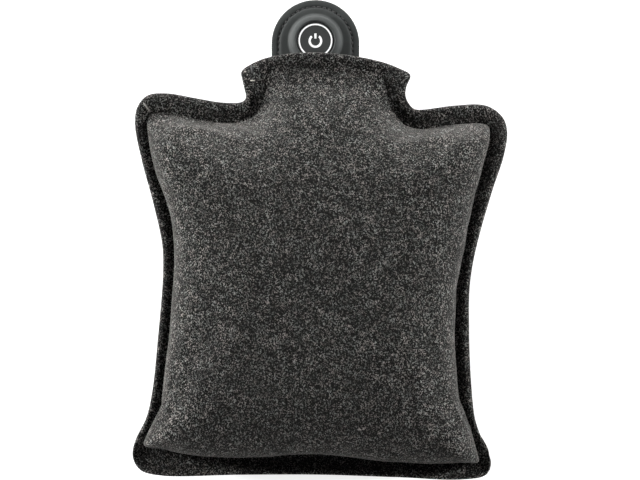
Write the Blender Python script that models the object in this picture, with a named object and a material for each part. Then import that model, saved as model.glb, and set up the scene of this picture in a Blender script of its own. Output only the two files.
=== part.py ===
"""Battery-heated cushion in the shape of a hot water bottle, lying on its back.

Metres. +Z points out of the front face, +Y towards the neck and the switch tab, +X to the right when the
front face is looked at. The origin is on the resting plane, below the middle of the whole object.

The cover is a felt bag with a flat hem. Its skins, and every layer inside them, are worked out from one
outline, one seam plane and one pair of height profiles, so the layers stay nested when a size changes.
"""

import math

import bmesh
import bpy
import numpy as np
from mathutils import Matrix, Vector
from mathutils.bvhtree import BVHTree

# Cover, outside
COVER_WIDTH = 0.262
COVER_LENGTH = 0.298
TAB_REACH = 0.037
SEAM_HEIGHT = 0.029
FRONT_RISE = 0.042
BACK_SWELL = 0.035
FRONT_SHOULDER = 0.045
BACK_SHOULDER = 0.045
HEM_SIDE = 0.0078
HEM_END = 0.0130
FELT = 0.0035
HEM_EDGE_ROUND = 0.0012
CREASE_DIP = 0.0012
MOUTH_RISE = 0.0088
MOUTH_DROP = 0.0095
PLY_GAP = 0.0003
FIT = 0.0003
OVERRUN = 0.002

# The cover's outline as hand-picked shares of its width, from the middle, and its length, from the bottom
OUTLINE_SHARES = (
    (0.0, 0.011), (0.214, 0.005), (0.38, 0.0), (0.444, 0.011), (0.457, 0.038), (0.439, 0.085),
    (0.417, 0.139), (0.404, 0.221), (0.398, 0.351), (0.398, 0.456), (0.414, 0.539), (0.455, 0.675),
    (0.489, 0.762), (0.5, 0.819), (0.488, 0.852), (0.444, 0.878), (0.361, 0.878), (0.273, 0.868),
    (0.238, 0.881), (0.227, 0.904), (0.23, 0.929), (0.241, 0.949), (0.219, 0.965), (0.16, 0.98),
    (0.053, 0.996), (-0.053, 0.999), (-0.144, 0.988), (-0.195, 0.969), (-0.211, 0.952), (-0.202, 0.92),
    (-0.197, 0.899), (-0.214, 0.885), (-0.262, 0.885), (-0.337, 0.896), (-0.412, 0.907), (-0.46, 0.901),
    (-0.485, 0.875), (-0.493, 0.835), (-0.476, 0.751), (-0.444, 0.645), (-0.421, 0.551), (-0.419, 0.48),
    (-0.433, 0.327), (-0.447, 0.209), (-0.465, 0.146), (-0.493, 0.085), (-0.499, 0.054), (-0.481, 0.022),
    (-0.428, 0.009), (-0.214, 0.011),
)
NECK_HALF_SHARE = 0.225
NECK_ROOT_SHARE = 0.80
NECK_TIP_SHARE = 0.93
WAIST_HALF_SHARE = 0.40
BODY_CENTRE_SHARE = 0.62
BODY_MIDDLE_SHARE = 0.44
CROWN_SHARE = 0.22

# How much of the body's height the neck loses, and where along the cover it starts and ends to
FRONT_TAPER_SHARES = (0.72, 0.74, 0.95)
BACK_TAPER_SHARES = (0.5, 0.72, 0.97)
WALL_POWER = 2.4
SPLINE_STEPS = 12
RAY_COUNT = 68
INNER_RAY_STEP_COUNT = 2
TURN_WEIGHT = 0.20
CREASE_PASS_COUNT = 3
LEAST_FACING = 0.55
BODY_PASS_COUNT = 2
RING_PASS_COUNT = 14

# Where the rings of the skins lie, as shares of the shoulder width and then of the rest of each ray
FRONT_WALL_SHARES = (0.02, 0.09, 0.22, 0.44, 0.70, 1.0)
FRONT_CROWN_SHARES = (0.5,)
BACK_WALL_SHARES = (0.06, 0.32, 0.80)

# Which rings each skin keeps, counted from the outer edge
CREASE_RING_INDEX = 3
FRONT_INSIDE_RINGS = (0, 3, 5, 6, 7, 9, 10)
FRONT_LINING_RINGS = (3, 5, 6, 7, 9, 10)
HEATER_RINGS = (7, 9, 10)
BACK_OUTSIDE_RINGS = (0, 1, 3, 4, 5, 6)
BACK_INSIDE_RINGS = (0, 3, 4, 5, 6)
BACK_LINING_RINGS = (3, 4, 5, 6)

# Zip across the lower back
ZIP_ABOVE_BOTTOM = 0.0875
SLOT_SIDE_MARGIN = 0.0308
SLOT_HALF_WIDTH = 0.0055
TURNED_EDGE = 0.0013
TURNED_BAND = 0.009
TAPE_THICK = 0.0006
TAPE_WIDTH = 0.0115
TAPE_END = 0.003
CHAIN_START_MARGIN = 0.005
CHAIN_END_MARGIN = 0.0242
TOOTH_PITCH = 0.0036
TOOTH_HEAD = 0.0019
TOOTH_NECK = 0.0009
TOOTH_REACH = 0.0013
TOOTH_HOOK = 0.0004
COMB_SPINE_IN = 0.0017
COMB_SPINE_OUT = 0.0028
COMB_THICK = 0.0022
SLIDER_LENGTH = 0.0095
SLIDER_HALF_WIDTH = 0.0044
SLIDER_CHANNEL_HALF = 0.0034
SLIDER_CLEAR = 0.0003
SLIDER_PLATE = 0.0008
SLIDER_POST = 0.0014
SLIDER_POST_LENGTH = 0.0026
SLIDER_SET_BACK = 0.0042
LUG_THICK = 0.0010
LUG_LENGTH = 0.0024
LUG_SPACING = 0.0026
PULL_PIN_RADIUS = 0.00045
PULL_EYE_RADIUS = 0.0010
PULL_EYE_GAP = 0.00015
PULL_LENGTH = 0.0135
PULL_WIDTH = 0.0048
PULL_THICK = 0.0010
PULL_HOLE_RADIUS = 0.0012
STOP_LENGTH = 0.0016
STOP_THICK = 0.0024
STOP_REACH = 0.0010

# Inner cushion
FRONT_SLACK = 0.0024
LINING = 0.0008
INNER_EDGE_INSET = 0.0015
INNER_WALL_EASE = 1.3
FILLING_GAP = 0.0006
WIRE_SPACE = 0.0041
HEATER_THICK = 0.0015
FOAM_BELOW_TOP = 0.0365
LINING_BELOW_TOP = 0.0135
SLIT_HALF_WIDTH = 0.0075
CHANNEL_HEADROOM = 0.0012

# Heating wire and its terminal block
WIRE_RADIUS = 0.0006
WIRE_LIFT = 0.0013
WIRE_ROW_COUNT = 8
WIRE_SIDE_MARGIN = 0.0038
WIRE_END_MARGIN = 0.0075
WIRE_NECK_MARGIN = 0.0189
WIRE_INNER = 0.006
WIRE_POINT_STEP = 0.009
TERMINAL_LENGTH = 0.016
TERMINAL_WIDTH = 0.008
TERMINAL_THICK = 0.0012
TERMINAL_SETBACK = 0.008
HEATER_LEAD_RADIUS = 0.0011

# Battery pack
CELL_RADIUS = 0.0092
CELL_LENGTH = 0.065
CELL_NUB_RADIUS = 0.003
CELL_NUB = 0.0008
CELL_GAP = 0.0006
CASE_WALL = 0.0012
CASE_SETBACK = 0.0057
CASE_ROUND = 0.003
BOARD_BAY = 0.0085
LINK_THICK = 0.0003
LINK_WIDTH = 0.007
BOARD_THICK = 0.0012
BOARD_MARGIN = 0.0012
CHIP_WIDTH = 0.011
CHIP_LENGTH = 0.0036
CHIP_HEIGHT = 0.0012
CHIP_X = -0.007
SOCKET_WIDTH = 0.009
SOCKET_HEIGHT = 0.0032
SOCKET_WALL = 0.0004
SOCKET_TONGUE_WIDTH = 0.0062
SOCKET_TONGUE_THICK = 0.0007
SOCKET_CORNER = 0.0014
LEAD_RADIUS = 0.0015
LEAD_X = -0.008
LEAD_BEND = 0.005
LEAD_STRAIGHT = 0.0036
BEND_STEPS = 4

# Connector between the battery lead and the tab
CONNECTOR_WIDTH = 0.0080
CONNECTOR_HEIGHT = 0.0036
CONNECTOR_LENGTH = 0.0065
CONNECTOR_SETBACK = 0.020

# Switch tab
TAB_X = -0.0032
TAB_RADIUS = 0.0302
TAB_TUCK = 0.0385
LEATHER = 0.0012
TAB_CORE_HALF = 0.0004
TAB_CORE_MARGIN = 0.0060
TAB_CORNER_COUNT = 22
RIBBON_WIDTH = 0.0060
RIBBON_THICK = 0.0003
RIBBON_ENTRY = 0.0024
PUCK_ABOVE_ARC = 0.0019
BUMP_MARGIN = 0.0024
BUMP_HEIGHT = 0.0052
BUMP_LIP_CLEAR = 0.0005
ROUND_STEPS = 44
SMALL_ROUND_STEPS = 16

# The bump's outer profile as shares of its radius and height, and its inner bevel as shares of the leather
BUMP_SHARES = ((1.027, 0.0), (1.0, 0.22), (0.985, 0.62), (0.961, 0.82), (0.925, 0.95), (0.883, 1.0))
BEVEL_SHARES = (0.6, 1.8)

# Switch housing, measured up from the middle plane of the tab
HOUSING_WALL = 0.0010
HOUSING_FLOOR = 0.0008
CONTROL_BOARD_THICK = 0.0008
BOARD_LIFT = 0.0009
LAMP_HEIGHT = 0.0006
LAMP_SIZE = 0.0016
LAMP_COUNT = 6
DOME_RADIUS = 0.0030
DOME_HEIGHT = 0.0004
STEM_RADIUS = 0.0020
STEM_LENGTH = 0.0010
FLANGE_WIDTH = 0.0013
FLANGE_THICK = 0.0006
FLANGE_CLEAR = 0.0008
BEZEL_THICK = 0.0008
BUTTON_RADIUS = 0.0127
BUTTON_EDGE_ROUND = 0.0004
BUTTON_BELOW_LIP = 0.0003
INLAY_DEPTH = 0.0010
INLAY_GAP = 0.0001
RING_MARGIN = 0.0009
RING_WIDTH = 0.0010
ICON_OUTER = 0.0048
ICON_INNER = 0.0033
ICON_DROP = 0.0003
ICON_GAP_DEGREES = 38
ICON_BAR_WIDTH = 0.0015
ICON_BAR_LOW = 0.0014
ICON_BAR_HIGH = 0.0049

# Places that follow from the sizes above
TOTAL_LENGTH = COVER_LENGTH + TAB_REACH
BOTTOM_Y = -TOTAL_LENGTH / 2
COVER_TOP_Y = BOTTOM_Y + COVER_LENGTH
TAB_TOP_Y = TOTAL_LENGTH / 2
TAB_ARC_Y = TAB_TOP_Y - TAB_RADIUS
PUCK_Y = TAB_ARC_Y + PUCK_ABOVE_ARC
HALF_GAP = PLY_GAP / 2
HOUSING_RADIUS = BUTTON_RADIUS + FLANGE_WIDTH + FLANGE_CLEAR + HOUSING_WALL
BUMP_RADIUS = HOUSING_RADIUS + BUMP_MARGIN
BUMP_LIP_RADIUS = BUTTON_RADIUS + BUMP_LIP_CLEAR
RING_OUTER = BUTTON_RADIUS - RING_MARGIN
RING_INNER = RING_OUTER - RING_WIDTH
TAB_TAIL_Y = COVER_TOP_Y - TAB_TUCK
CONNECTOR_Y = TAB_TAIL_Y - CONNECTOR_SETBACK
FOAM_TOP_Y = COVER_TOP_Y - FOAM_BELOW_TOP
LINING_TOP_Y = COVER_TOP_Y - LINING_BELOW_TOP
WAIST_HALF_WIDTH = COVER_WIDTH * WAIST_HALF_SHARE

ZIP_Y = BOTTOM_Y + ZIP_ABOVE_BOTTOM
SLOT_HALF_LENGTH = WAIST_HALF_WIDTH - SLOT_SIDE_MARGIN
CHAIN_START = CHAIN_START_MARGIN - SLOT_HALF_LENGTH
TOOTH_COUNT = round((2 * SLOT_HALF_LENGTH - CHAIN_START_MARGIN - CHAIN_END_MARGIN) / TOOTH_PITCH)
TAPE_LOW = FELT + TURNED_EDGE + FIT
TAPE_MIDDLE = TAPE_LOW + TAPE_THICK / 2
TAPE_TOP = TAPE_LOW + TAPE_THICK
CHANNEL_HALF_HEIGHT = COMB_THICK / 2 + SLIDER_CLEAR
SLIDER_TOP = TAPE_MIDDLE + CHANNEL_HALF_HEIGHT + SLIDER_PLATE
SLIDER_BOTTOM = TAPE_MIDDLE - CHANNEL_HALF_HEIGHT - SLIDER_PLATE
CHAIN_END = CHAIN_START + TOOTH_PITCH * TOOTH_COUNT
SLIDER_X = CHAIN_END - SLIDER_SET_BACK

BACK_LINING_DEPTH = TAPE_TOP + FIT
FOAM_LOW = BACK_LINING_DEPTH + LINING + FILLING_GAP
FRONT_LINING_DEPTH = FELT + FRONT_SLACK
HEATER_DEPTH = FRONT_LINING_DEPTH + LINING + WIRE_SPACE
FRONT_FOAM_DEPTH = HEATER_DEPTH + HEATER_THICK + FILLING_GAP

CASE_LOW = FOAM_LOW
CASE_HEIGHT = 2 * (CASE_WALL + FIT + CELL_RADIUS)
CASE_HALF_WIDTH = 2 * CELL_RADIUS + CELL_GAP / 2 + FIT + CASE_WALL
CASE_LENGTH = CELL_LENGTH + CELL_NUB + 3 * LINK_THICK + 6 * FIT + BOARD_BAY + 2 * CASE_WALL
CASE_TOP_Y = (ZIP_Y + CONNECTOR_Y + CASE_LENGTH) / 2 - CASE_SETBACK
CASE_LOW_Y = CASE_TOP_Y - CASE_LENGTH
CASE_MIDDLE_Y = (CASE_LOW_Y + CASE_TOP_Y) / 2
CASE_SPLIT = CASE_LOW + CASE_HEIGHT / 2
CELL_TOP_Y = CASE_TOP_Y - CASE_WALL - 2 * FIT - LINK_THICK
CELL_X = CELL_RADIUS + CELL_GAP / 2
SOCKET_Z = CASE_SPLIT + CASE_HEIGHT / 4

WIRE_HALF_SPAN = WAIST_HALF_WIDTH - FRONT_SHOULDER - WIRE_SIDE_MARGIN
WIRE_TOP_Y = BOTTOM_Y + NECK_ROOT_SHARE * COVER_LENGTH - WIRE_NECK_MARGIN
WIRE_LOW_Y = BOTTOM_Y + HEM_END + FRONT_SHOULDER + WIRE_END_MARGIN
WIRE_PITCH = (WIRE_TOP_Y - WIRE_LOW_Y) / (WIRE_ROW_COUNT - 1)

MATERIALS = {}


# Blender helpers

def clear_scene():
    for item in list(bpy.data.objects):
        bpy.data.objects.remove(item, do_unlink=True)


def material(name, colour, roughness, metallic=0.0):
    """A Principled material, made once for each name."""
    if name not in MATERIALS:
        made = bpy.data.materials.new(name)
        made.use_nodes = True
        shader = made.node_tree.nodes["Principled BSDF"]
        shader.inputs["Base Color"].default_value = (*colour, 1.0)
        shader.inputs["Roughness"].default_value = roughness
        shader.inputs["Metallic"].default_value = metallic
        MATERIALS[name] = made
    return MATERIALS[name]


def place(name, mesh, finish=None):
    """An object for a mesh; its faces are turned outwards."""
    shell = bmesh.new()
    shell.from_mesh(mesh)
    bmesh.ops.recalc_face_normals(shell, faces=shell.faces)
    shell.to_mesh(mesh)
    shell.free()
    item = bpy.data.objects.new(name, mesh)
    bpy.context.scene.collection.objects.link(item)
    if finish:
        item.data.materials.append(finish)
    else:
        item.hide_render = True
        item.display_type = "WIRE"
    return item


def mesh_of(name, points, faces):
    mesh = bpy.data.meshes.new(name)
    mesh.from_pydata([tuple(point) for point in points], [], faces)
    return mesh


def smooth(item, degrees=35):
    item.data.shade_smooth()
    item.data.set_sharp_from_angle(angle=math.radians(degrees))
    return item


def boolean(item, tool, operation="DIFFERENCE"):
    step = item.modifiers.new(operation.lower(), "BOOLEAN")
    step.operation = operation
    step.object = tool
    return item


def block(name, low, high, finish=None, edge=0.0):
    """A box between two corners, with rounded edges where edge is given."""
    corners = [(x, y, z) for x in (low[0], high[0]) for y in (low[1], high[1]) for z in (low[2], high[2])]
    faces = [(0, 1, 3, 2), (4, 6, 7, 5), (0, 4, 5, 1), (2, 3, 7, 6), (0, 2, 6, 4), (1, 5, 7, 3)]
    item = place(name, mesh_of(name, corners, faces), finish)
    if edge:
        step = item.modifiers.new("edge", "BEVEL")
        step.width = edge
        step.segments = 2
        step.limit_method = "ANGLE"
    return item


def prism(name, outline, low, high, finish=None, axes="XY"):
    """An outline in one plane, extruded along the third axis."""
    turn = {
        "XY": lambda a, b, c: (a, b, c),
        "YZ": lambda a, b, c: (c, a, b),
        "XZ": lambda a, b, c: (a, c, b),
    }[axes]
    count = len(outline)
    points = [turn(a, b, low) for a, b in outline] + [turn(a, b, high) for a, b in outline]
    faces = [tuple(range(count)), tuple(range(2 * count - 1, count - 1, -1))]
    faces += [(i, (i + 1) % count, count + (i + 1) % count, count + i) for i in range(count)]
    return place(name, mesh_of(name, points, faces), finish)


def turned(name, profile, centre, steps, finish=None):
    """A closed profile of (radius, height) points turned round the Z axis through centre."""
    points = []
    rows = []
    for radius, height in profile:
        if radius == 0:
            rows.append([len(points)] * steps)
            points.append((centre[0], centre[1], centre[2] + height))
            continue
        rows.append(list(range(len(points), len(points) + steps)))
        for i in range(steps):
            angle = 2 * math.pi * i / steps
            points.append(
                (
                    centre[0] + radius * math.cos(angle),
                    centre[1] + radius * math.sin(angle),
                    centre[2] + height,
                )
            )
    faces = []
    for k, row in enumerate(rows):
        following = rows[(k + 1) % len(rows)]
        for i in range(steps):
            corner = (row[i], row[(i + 1) % steps], following[(i + 1) % steps], following[i])
            face = tuple(dict.fromkeys(corner))
            if len(face) > 2:
                faces.append(face)
    return place(name, mesh_of(name, points, faces), finish)


def ring_outline(radius, steps, centre=(0.0, 0.0)):
    turn = 2 * math.pi / steps
    return [
        (centre[0] + radius * math.cos(turn * i), centre[1] + radius * math.sin(turn * i))
        for i in range(steps)
    ]


def tube(name, points, radius, finish=None, resolution=1):
    """A round lead along the points, closed at both ends."""
    curve = bpy.data.curves.new(name, "CURVE")
    curve.dimensions = "3D"
    curve.bevel_depth = radius
    curve.bevel_resolution = resolution
    curve.use_fill_caps = True
    line = curve.splines.new("POLY")
    line.points.add(len(points) - 1)
    for knot, point in zip(line.points, points):
        knot.co = (*point, 1.0)
    item = bpy.data.objects.new(name, curve)
    bpy.context.scene.collection.objects.link(item)
    if finish:
        curve.materials.append(finish)
    else:
        item.hide_render = True
        item.display_type = "WIRE"
    return item


def smooth_path(points, steps=6, closed=False):
    """A centripetal spline through the points."""
    knots = [np.array(point, dtype=float) for point in points]
    count = len(knots)
    spans = count if closed else count - 1
    path = []
    for i in range(spans):
        b, c = knots[i], knots[(i + 1) % count]
        a = knots[i - 1] if closed or i else 2 * b - c
        d = knots[(i + 2) % count] if closed or i < spans - 1 else 2 * c - b
        first = math.sqrt(np.linalg.norm(b - a))
        second = first + math.sqrt(np.linalg.norm(c - b))
        third = second + math.sqrt(np.linalg.norm(d - c))
        for k in range(steps):
            t = first + (second - first) * k / steps
            ab = (first - t) / first * a + t / first * b
            bc = (second - t) / (second - first) * b + (t - first) / (second - first) * c
            cd = (third - t) / (third - second) * c + (t - second) / (third - second) * d
            abc = (second - t) / second * ab + t / second * bc
            bcd = (third - t) / (third - first) * bc + (t - first) / (third - first) * cd
            path.append((second - t) / (second - first) * abc + (t - first) / (second - first) * bcd)
    if not closed:
        path.append(knots[-1])
    return np.array(path)


# The cushion's form

def along(share):
    """The Y of a share of the cover's length."""
    return BOTTOM_Y + share * COVER_LENGTH


def ease(value, low, high):
    t = np.clip((value - low) / (high - low), 0.0, 1.0)
    return t * t * (3 - 2 * t)


def soften(values, passes):
    """Each value round a ring averaged with its neighbours."""
    for _ in range(passes):
        values = (np.roll(values, 1) + 2 * values + np.roll(values, -1)) / 4
    return values


def lift_of_mouth(points, height):
    """How far the neck's mouth opens from the seam plane at each point."""
    across = np.clip(points[..., 0] / (NECK_HALF_SHARE * COVER_WIDTH), -1.0, 1.0)
    up = ease(points[..., 1], along(NECK_ROOT_SHARE), along(NECK_TIP_SHARE))
    return height * (1 - across * across) * up


class Form:
    """The outline, the rays from it to the middle of the body, and where each ray meets the crease."""

    def __init__(self):
        knots = [(x * COVER_WIDTH, along(y)) for x, y in OUTLINE_SHARES]
        self.dense = smooth_path(knots, SPLINE_STEPS, closed=True)
        ahead = np.roll(self.dense, -1, axis=0) - self.dense
        length = np.linalg.norm(ahead, axis=1)
        heading = ahead / length[:, None]
        before = np.roll(heading, 1, axis=0)
        bend = np.abs(before[:, 0] * heading[:, 1] - before[:, 1] * heading[:, 0])
        weight = (1 - TURN_WEIGHT) * length / length.sum() + TURN_WEIGHT * bend / bend.sum()
        total = np.concatenate([[0.0], np.cumsum(weight)])
        wanted = np.arange(RAY_COUNT) / RAY_COUNT
        places = np.searchsorted(total, wanted, side="right") - 1
        part = (wanted - total[places]) / weight[places]
        self.edge = self.dense[places] + ahead[places] * part[:, None]
        outward = np.stack([heading[places][:, 1], -heading[places][:, 0]], axis=1)
        self.centre = np.array([0.0, along(BODY_CENTRE_SHARE)])
        inward = self.centre - self.edge
        self.full = np.linalg.norm(inward, axis=1)
        self.inward = inward / self.full[:, None]
        neck = ease(self.edge[:, 1], along(NECK_ROOT_SHARE), along(NECK_TIP_SHARE))
        across = np.abs(self.edge[:, 0]) < 1.25 * NECK_HALF_SHARE * COVER_WIDTH
        ends = np.maximum(outward[:, 1] ** 2, neck * across)
        self.hem = HEM_SIDE + (HEM_END - HEM_SIDE) * ends
        self.crease = soften(self.reach(self.hem), CREASE_PASS_COUNT)
        self.fold = self.at(self.crease)
        along_fold = np.roll(self.fold, -1, axis=0) - np.roll(self.fold, 1, axis=0)
        along_fold /= np.linalg.norm(along_fold, axis=1)[:, None]
        facing = np.abs(along_fold[:, 0] * self.inward[:, 1] - along_fold[:, 1] * self.inward[:, 0])
        self.slant = 1 / np.maximum(soften(facing, CREASE_PASS_COUNT), LEAST_FACING)

    def reach(self, width):
        """How far along each ray a point is first this far from the outline."""
        tries = np.linspace(0.0, 0.45, 240)
        found = np.zeros(RAY_COUNT)
        for i in range(RAY_COUNT):
            steps = tries * self.full[i]
            spots = self.edge[i] + steps[:, None] * self.inward[i]
            away = np.sqrt(((spots[:, None, :] - self.dense[None]) ** 2).sum(axis=2)).min(axis=1)
            found[i] = steps[np.argmax(away >= width[i])]
        return found

    def at(self, distance):
        """The points a distance in from the outline, one on each ray."""
        return self.edge + np.asarray(distance)[:, None] * self.inward

    def past_crease(self, plan):
        """How far each point lies from the nearest side of the crease."""
        ahead = np.roll(self.fold, -1, axis=0) - self.fold
        offset = plan[:, None, :] - self.fold[None]
        part = (offset * ahead).sum(axis=2) / (ahead ** 2).sum(axis=1)
        nearest = np.clip(part, 0.0, 1.0)[..., None] * ahead
        return np.linalg.norm(offset - nearest, axis=2).min(axis=1)

    def distance(self, wall_share, crown_share, shoulder):
        """How far in a ring lies: past the crease by a share of the shoulder, then of the rest.

        The further in a ring lies, the less it follows the outline's notches.
        """
        left = soften(self.full - self.crease - wall_share * shoulder, round(RING_PASS_COUNT * wall_share))
        return self.full - left * (1 - crown_share)


def swell(form, distance, plan, shoulder, height, crown_share, taper_shares):
    """The height over the seam plane: a steep wall, a low crown, and less of both towards the neck."""
    past = np.where(distance > form.crease, form.past_crease(plan), 0.0)
    u = np.clip(past / shoulder, 0.0, 1.0)
    wall = (1 - (1 - u) ** WALL_POWER) ** (1 / WALL_POWER)
    across = plan[:, 0] / (COVER_WIDTH / 2)
    up = (plan[:, 1] - along(BODY_MIDDLE_SHARE)) / (COVER_LENGTH / 2)
    crown = np.clip(1 - across ** 2, 0.0, 1.0) * np.clip(1 - up ** 2, 0.0, 1.0)
    lost, start, end = taper_shares
    taper = 1 - lost * ease(plan[:, 1], along(start), along(end))
    return soften(height * wall * taper * (1 - crown_share + crown_share * crown), BODY_PASS_COUNT)


def front_ring(form, distance, flat=0.0):
    """A ring of the cover's outer front surface, on every ray."""
    plan = form.at(distance)
    body = swell(form, distance, plan, FRONT_SHOULDER, FRONT_RISE, CROWN_SHARE, FRONT_TAPER_SHARES)
    neck = ease(plan[:, 1], along(NECK_ROOT_SHARE), along(NECK_TIP_SHARE))
    mouth = lift_of_mouth(plan, MOUTH_RISE)
    height = SEAM_HEIGHT + HALF_GAP + FELT + mouth + np.maximum(body - neck * mouth, 0.0) - flat
    return np.column_stack([plan, height])


def back_ring(form, distance, flat=0.0):
    """A ring of the cover's outer back surface, cut flat at the resting plane."""
    plan = form.at(distance)
    body = swell(form, distance, plan, BACK_SHOULDER, BACK_SWELL, 0.0, BACK_TAPER_SHARES)
    mouth = lift_of_mouth(plan, MOUTH_DROP)
    height = SEAM_HEIGHT - HALF_GAP - FELT - mouth - np.maximum(body - mouth, 0.0) + flat
    return np.column_stack([plan, np.maximum(height, 0.0)])


def skin_rings(form, side):
    """All rings of one side of the cover, from the outer edge in, and its middle point."""
    ring = front_ring if side > 0 else back_ring
    shoulder = FRONT_SHOULDER if side > 0 else BACK_SHOULDER
    walls = FRONT_WALL_SHARES if side > 0 else BACK_WALL_SHARES
    crowns = FRONT_CROWN_SHARES if side > 0 else ()
    rings = [
        ring(form, np.zeros(RAY_COUNT), HEM_EDGE_ROUND),
        ring(form, np.full(RAY_COUNT, HEM_EDGE_ROUND)),
        ring(form, form.crease * 0.8),
        ring(form, form.crease, CREASE_DIP),
    ]
    rings += [ring(form, form.distance(share, 0.0, shoulder)) for share in walls]
    rings += [ring(form, form.distance(1.0, share, shoulder)) for share in crowns]
    middle = ring(form, form.full)[0]
    return np.array(rings), middle


def normals_of(form, rings, middle, side):
    """Outward steps of a skin at its ring points, each in the upright plane of its own ray.

    They are longer than a unit where a ray meets the crease at a slant, so that a layer keeps its depth.
    """
    inner = np.concatenate([rings[1:], np.broadcast_to(middle, (1, *rings.shape[1:]))])
    outer = np.concatenate([rings[:1], rings[:-1]])
    slope = inner - outer
    run = (slope[..., :2] * form.inward).sum(axis=2)
    steep = np.hypot(run, slope[..., 2])
    outward = -side * form.slant * slope[..., 2] / steep
    return np.concatenate([outward[..., None] * form.inward, (side * run / steep)[..., None]], axis=2)


def layer(rings, normals, middle, side, depth, clear=0.0):
    """The rings of a layer that lies at a depth under the cover's outer surface, clear of the seam plane."""
    moved = rings - normals * depth
    over = np.maximum(side * (moved[..., 2] - SEAM_HEIGHT), HALF_GAP + clear)
    moved[..., 2] = SEAM_HEIGHT + side * over
    return moved, middle - np.array([0.0, 0.0, side * depth])


def shell_mesh(name, top, top_middle, low, low_middle):
    """A closed skin between two stacks of rings that share their rays."""
    points = []
    faces = []
    count = top.shape[1]
    starts = []
    for rings, middle in ((top, top_middle), (low, low_middle)):
        start = len(points)
        starts.append(start)
        points += list(rings.reshape(-1, 3)) + [middle]
        tip = len(points) - 1
        for k in range(len(rings) - 1):
            for i in range(count):
                j = (i + 1) % count
                a = start + k * count
                faces.append((a + i, a + j, a + count + j, a + count + i))
        last = start + (len(rings) - 1) * count
        faces += [(last + i, last + (i + 1) % count, tip) for i in range(count)]
    for i in range(count):
        j = (i + 1) % count
        faces.append((starts[0] + i, starts[0] + j, starts[1] + j, starts[1] + i))
    return mesh_of(name, points, faces)


# Felt cover

def felt():
    return material("felt", (0.055, 0.054, 0.052), 0.95)


def cover_front(form):
    rings, middle = skin_rings(form, 1)
    normals = normals_of(form, rings, middle, 1)
    inside, inside_middle = layer(rings, normals, middle, 1, FELT)
    inside[:3, :, 2] = SEAM_HEIGHT + HALF_GAP + lift_of_mouth(inside[:3], MOUTH_RISE)
    inside[:3, :, :2] = rings[:3, :, :2]
    mesh = shell_mesh("cover_front", rings, middle, inside[list(FRONT_INSIDE_RINGS)], inside_middle)
    return smooth(place("cover_front", mesh, felt()), 60)


def back_shell(form, name):
    rings, middle = skin_rings(form, -1)
    normals = normals_of(form, rings, middle, -1)
    inside, inside_middle = layer(rings, normals, middle, -1, FELT)
    inside[:3, :, 2] = SEAM_HEIGHT - HALF_GAP - lift_of_mouth(inside[:3], MOUTH_DROP)
    inside[:3, :, :2] = rings[:3, :, :2]
    outside = rings[list(BACK_OUTSIDE_RINGS)]
    mesh = shell_mesh(name, outside, middle, inside[list(BACK_INSIDE_RINGS)], inside_middle)
    return smooth(place(name, mesh, felt()), 60)


def cover_back(form):
    """The back of the cover: two panels that meet in a seam, with the zip's slot in the middle of it."""
    for name, way in (("cover_back_upper", 1), ("cover_back_lower", -1)):
        panel = back_shell(form, name)
        edge = ZIP_Y + way * SLOT_HALF_WIDTH
        inner = sorted((edge, edge + way * TURNED_BAND))
        band = block(
            name + "_turned_edge",
            (-SLOT_HALF_LENGTH, inner[0], FELT / 2),
            (SLOT_HALF_LENGTH, inner[1], FELT + TURNED_EDGE),
        )
        boolean(panel, band, "UNION")
        far = -way * COVER_LENGTH
        side = COVER_WIDTH
        seam = ZIP_Y + way * HALF_GAP
        outline = [
            (-side, far), (side, far), (side, seam), (SLOT_HALF_LENGTH, seam), (SLOT_HALF_LENGTH, edge),
            (-SLOT_HALF_LENGTH, edge), (-SLOT_HALF_LENGTH, seam), (-side, seam),
        ]
        tool = prism(name + "_cutter", outline, -OVERRUN, SEAM_HEIGHT + OVERRUN)
        boolean(panel, tool)


# Zip

def tooth_outline(way):
    """The inner edge of one tape's comb: hammer-headed teeth that hook behind those of the other tape."""
    shift = 0.0 if way > 0 else TOOTH_PITCH / 2
    root = -COMB_SPINE_IN
    points = []
    for k in range(TOOTH_COUNT):
        x = CHAIN_START + TOOTH_PITCH * (k + 0.5) + shift
        points += [
            (x - TOOTH_NECK / 2, root),
            (x - TOOTH_NECK / 2, TOOTH_HOOK),
            (x - TOOTH_HEAD / 2, TOOTH_HOOK + (TOOTH_HEAD - TOOTH_NECK) / 2),
            (x - TOOTH_HEAD / 2, TOOTH_REACH),
            (x + TOOTH_HEAD / 2, TOOTH_REACH),
            (x + TOOTH_HEAD / 2, TOOTH_HOOK + (TOOTH_HEAD - TOOTH_NECK) / 2),
            (x + TOOTH_NECK / 2, TOOTH_HOOK),
            (x + TOOTH_NECK / 2, root),
        ]
    return points


def zip_tapes():
    """Two tapes, each with the row of teeth that is moulded on its corded edge."""
    tape = material("zip_tape", (0.02, 0.02, 0.021), 0.8)
    end = SLOT_HALF_LENGTH + TAPE_END
    for name, way in (("zip_tape_upper", 1), ("zip_tape_lower", -1)):
        near = COMB_SPINE_OUT - TAPE_THICK
        rows = sorted((ZIP_Y + way * near, ZIP_Y + way * (near + TAPE_WIDTH)))
        strip = block(name, (-end, rows[0], TAPE_LOW), (end, rows[1], TAPE_TOP), tape)
        start = CHAIN_START - TOOTH_PITCH / 2
        stop = CHAIN_END + TOOTH_PITCH
        outline = [(start, -COMB_SPINE_OUT), (start, -COMB_SPINE_IN)]
        outline += tooth_outline(way)
        outline += [(stop, -COMB_SPINE_IN), (stop, -COMB_SPINE_OUT)]
        flipped = [(x, ZIP_Y - way * y) for x, y in outline]
        comb = prism(
            name + "_teeth", flipped, TAPE_MIDDLE - COMB_THICK / 2, TAPE_MIDDLE + COMB_THICK / 2
        )
        boolean(strip, comb, "UNION")


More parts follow.
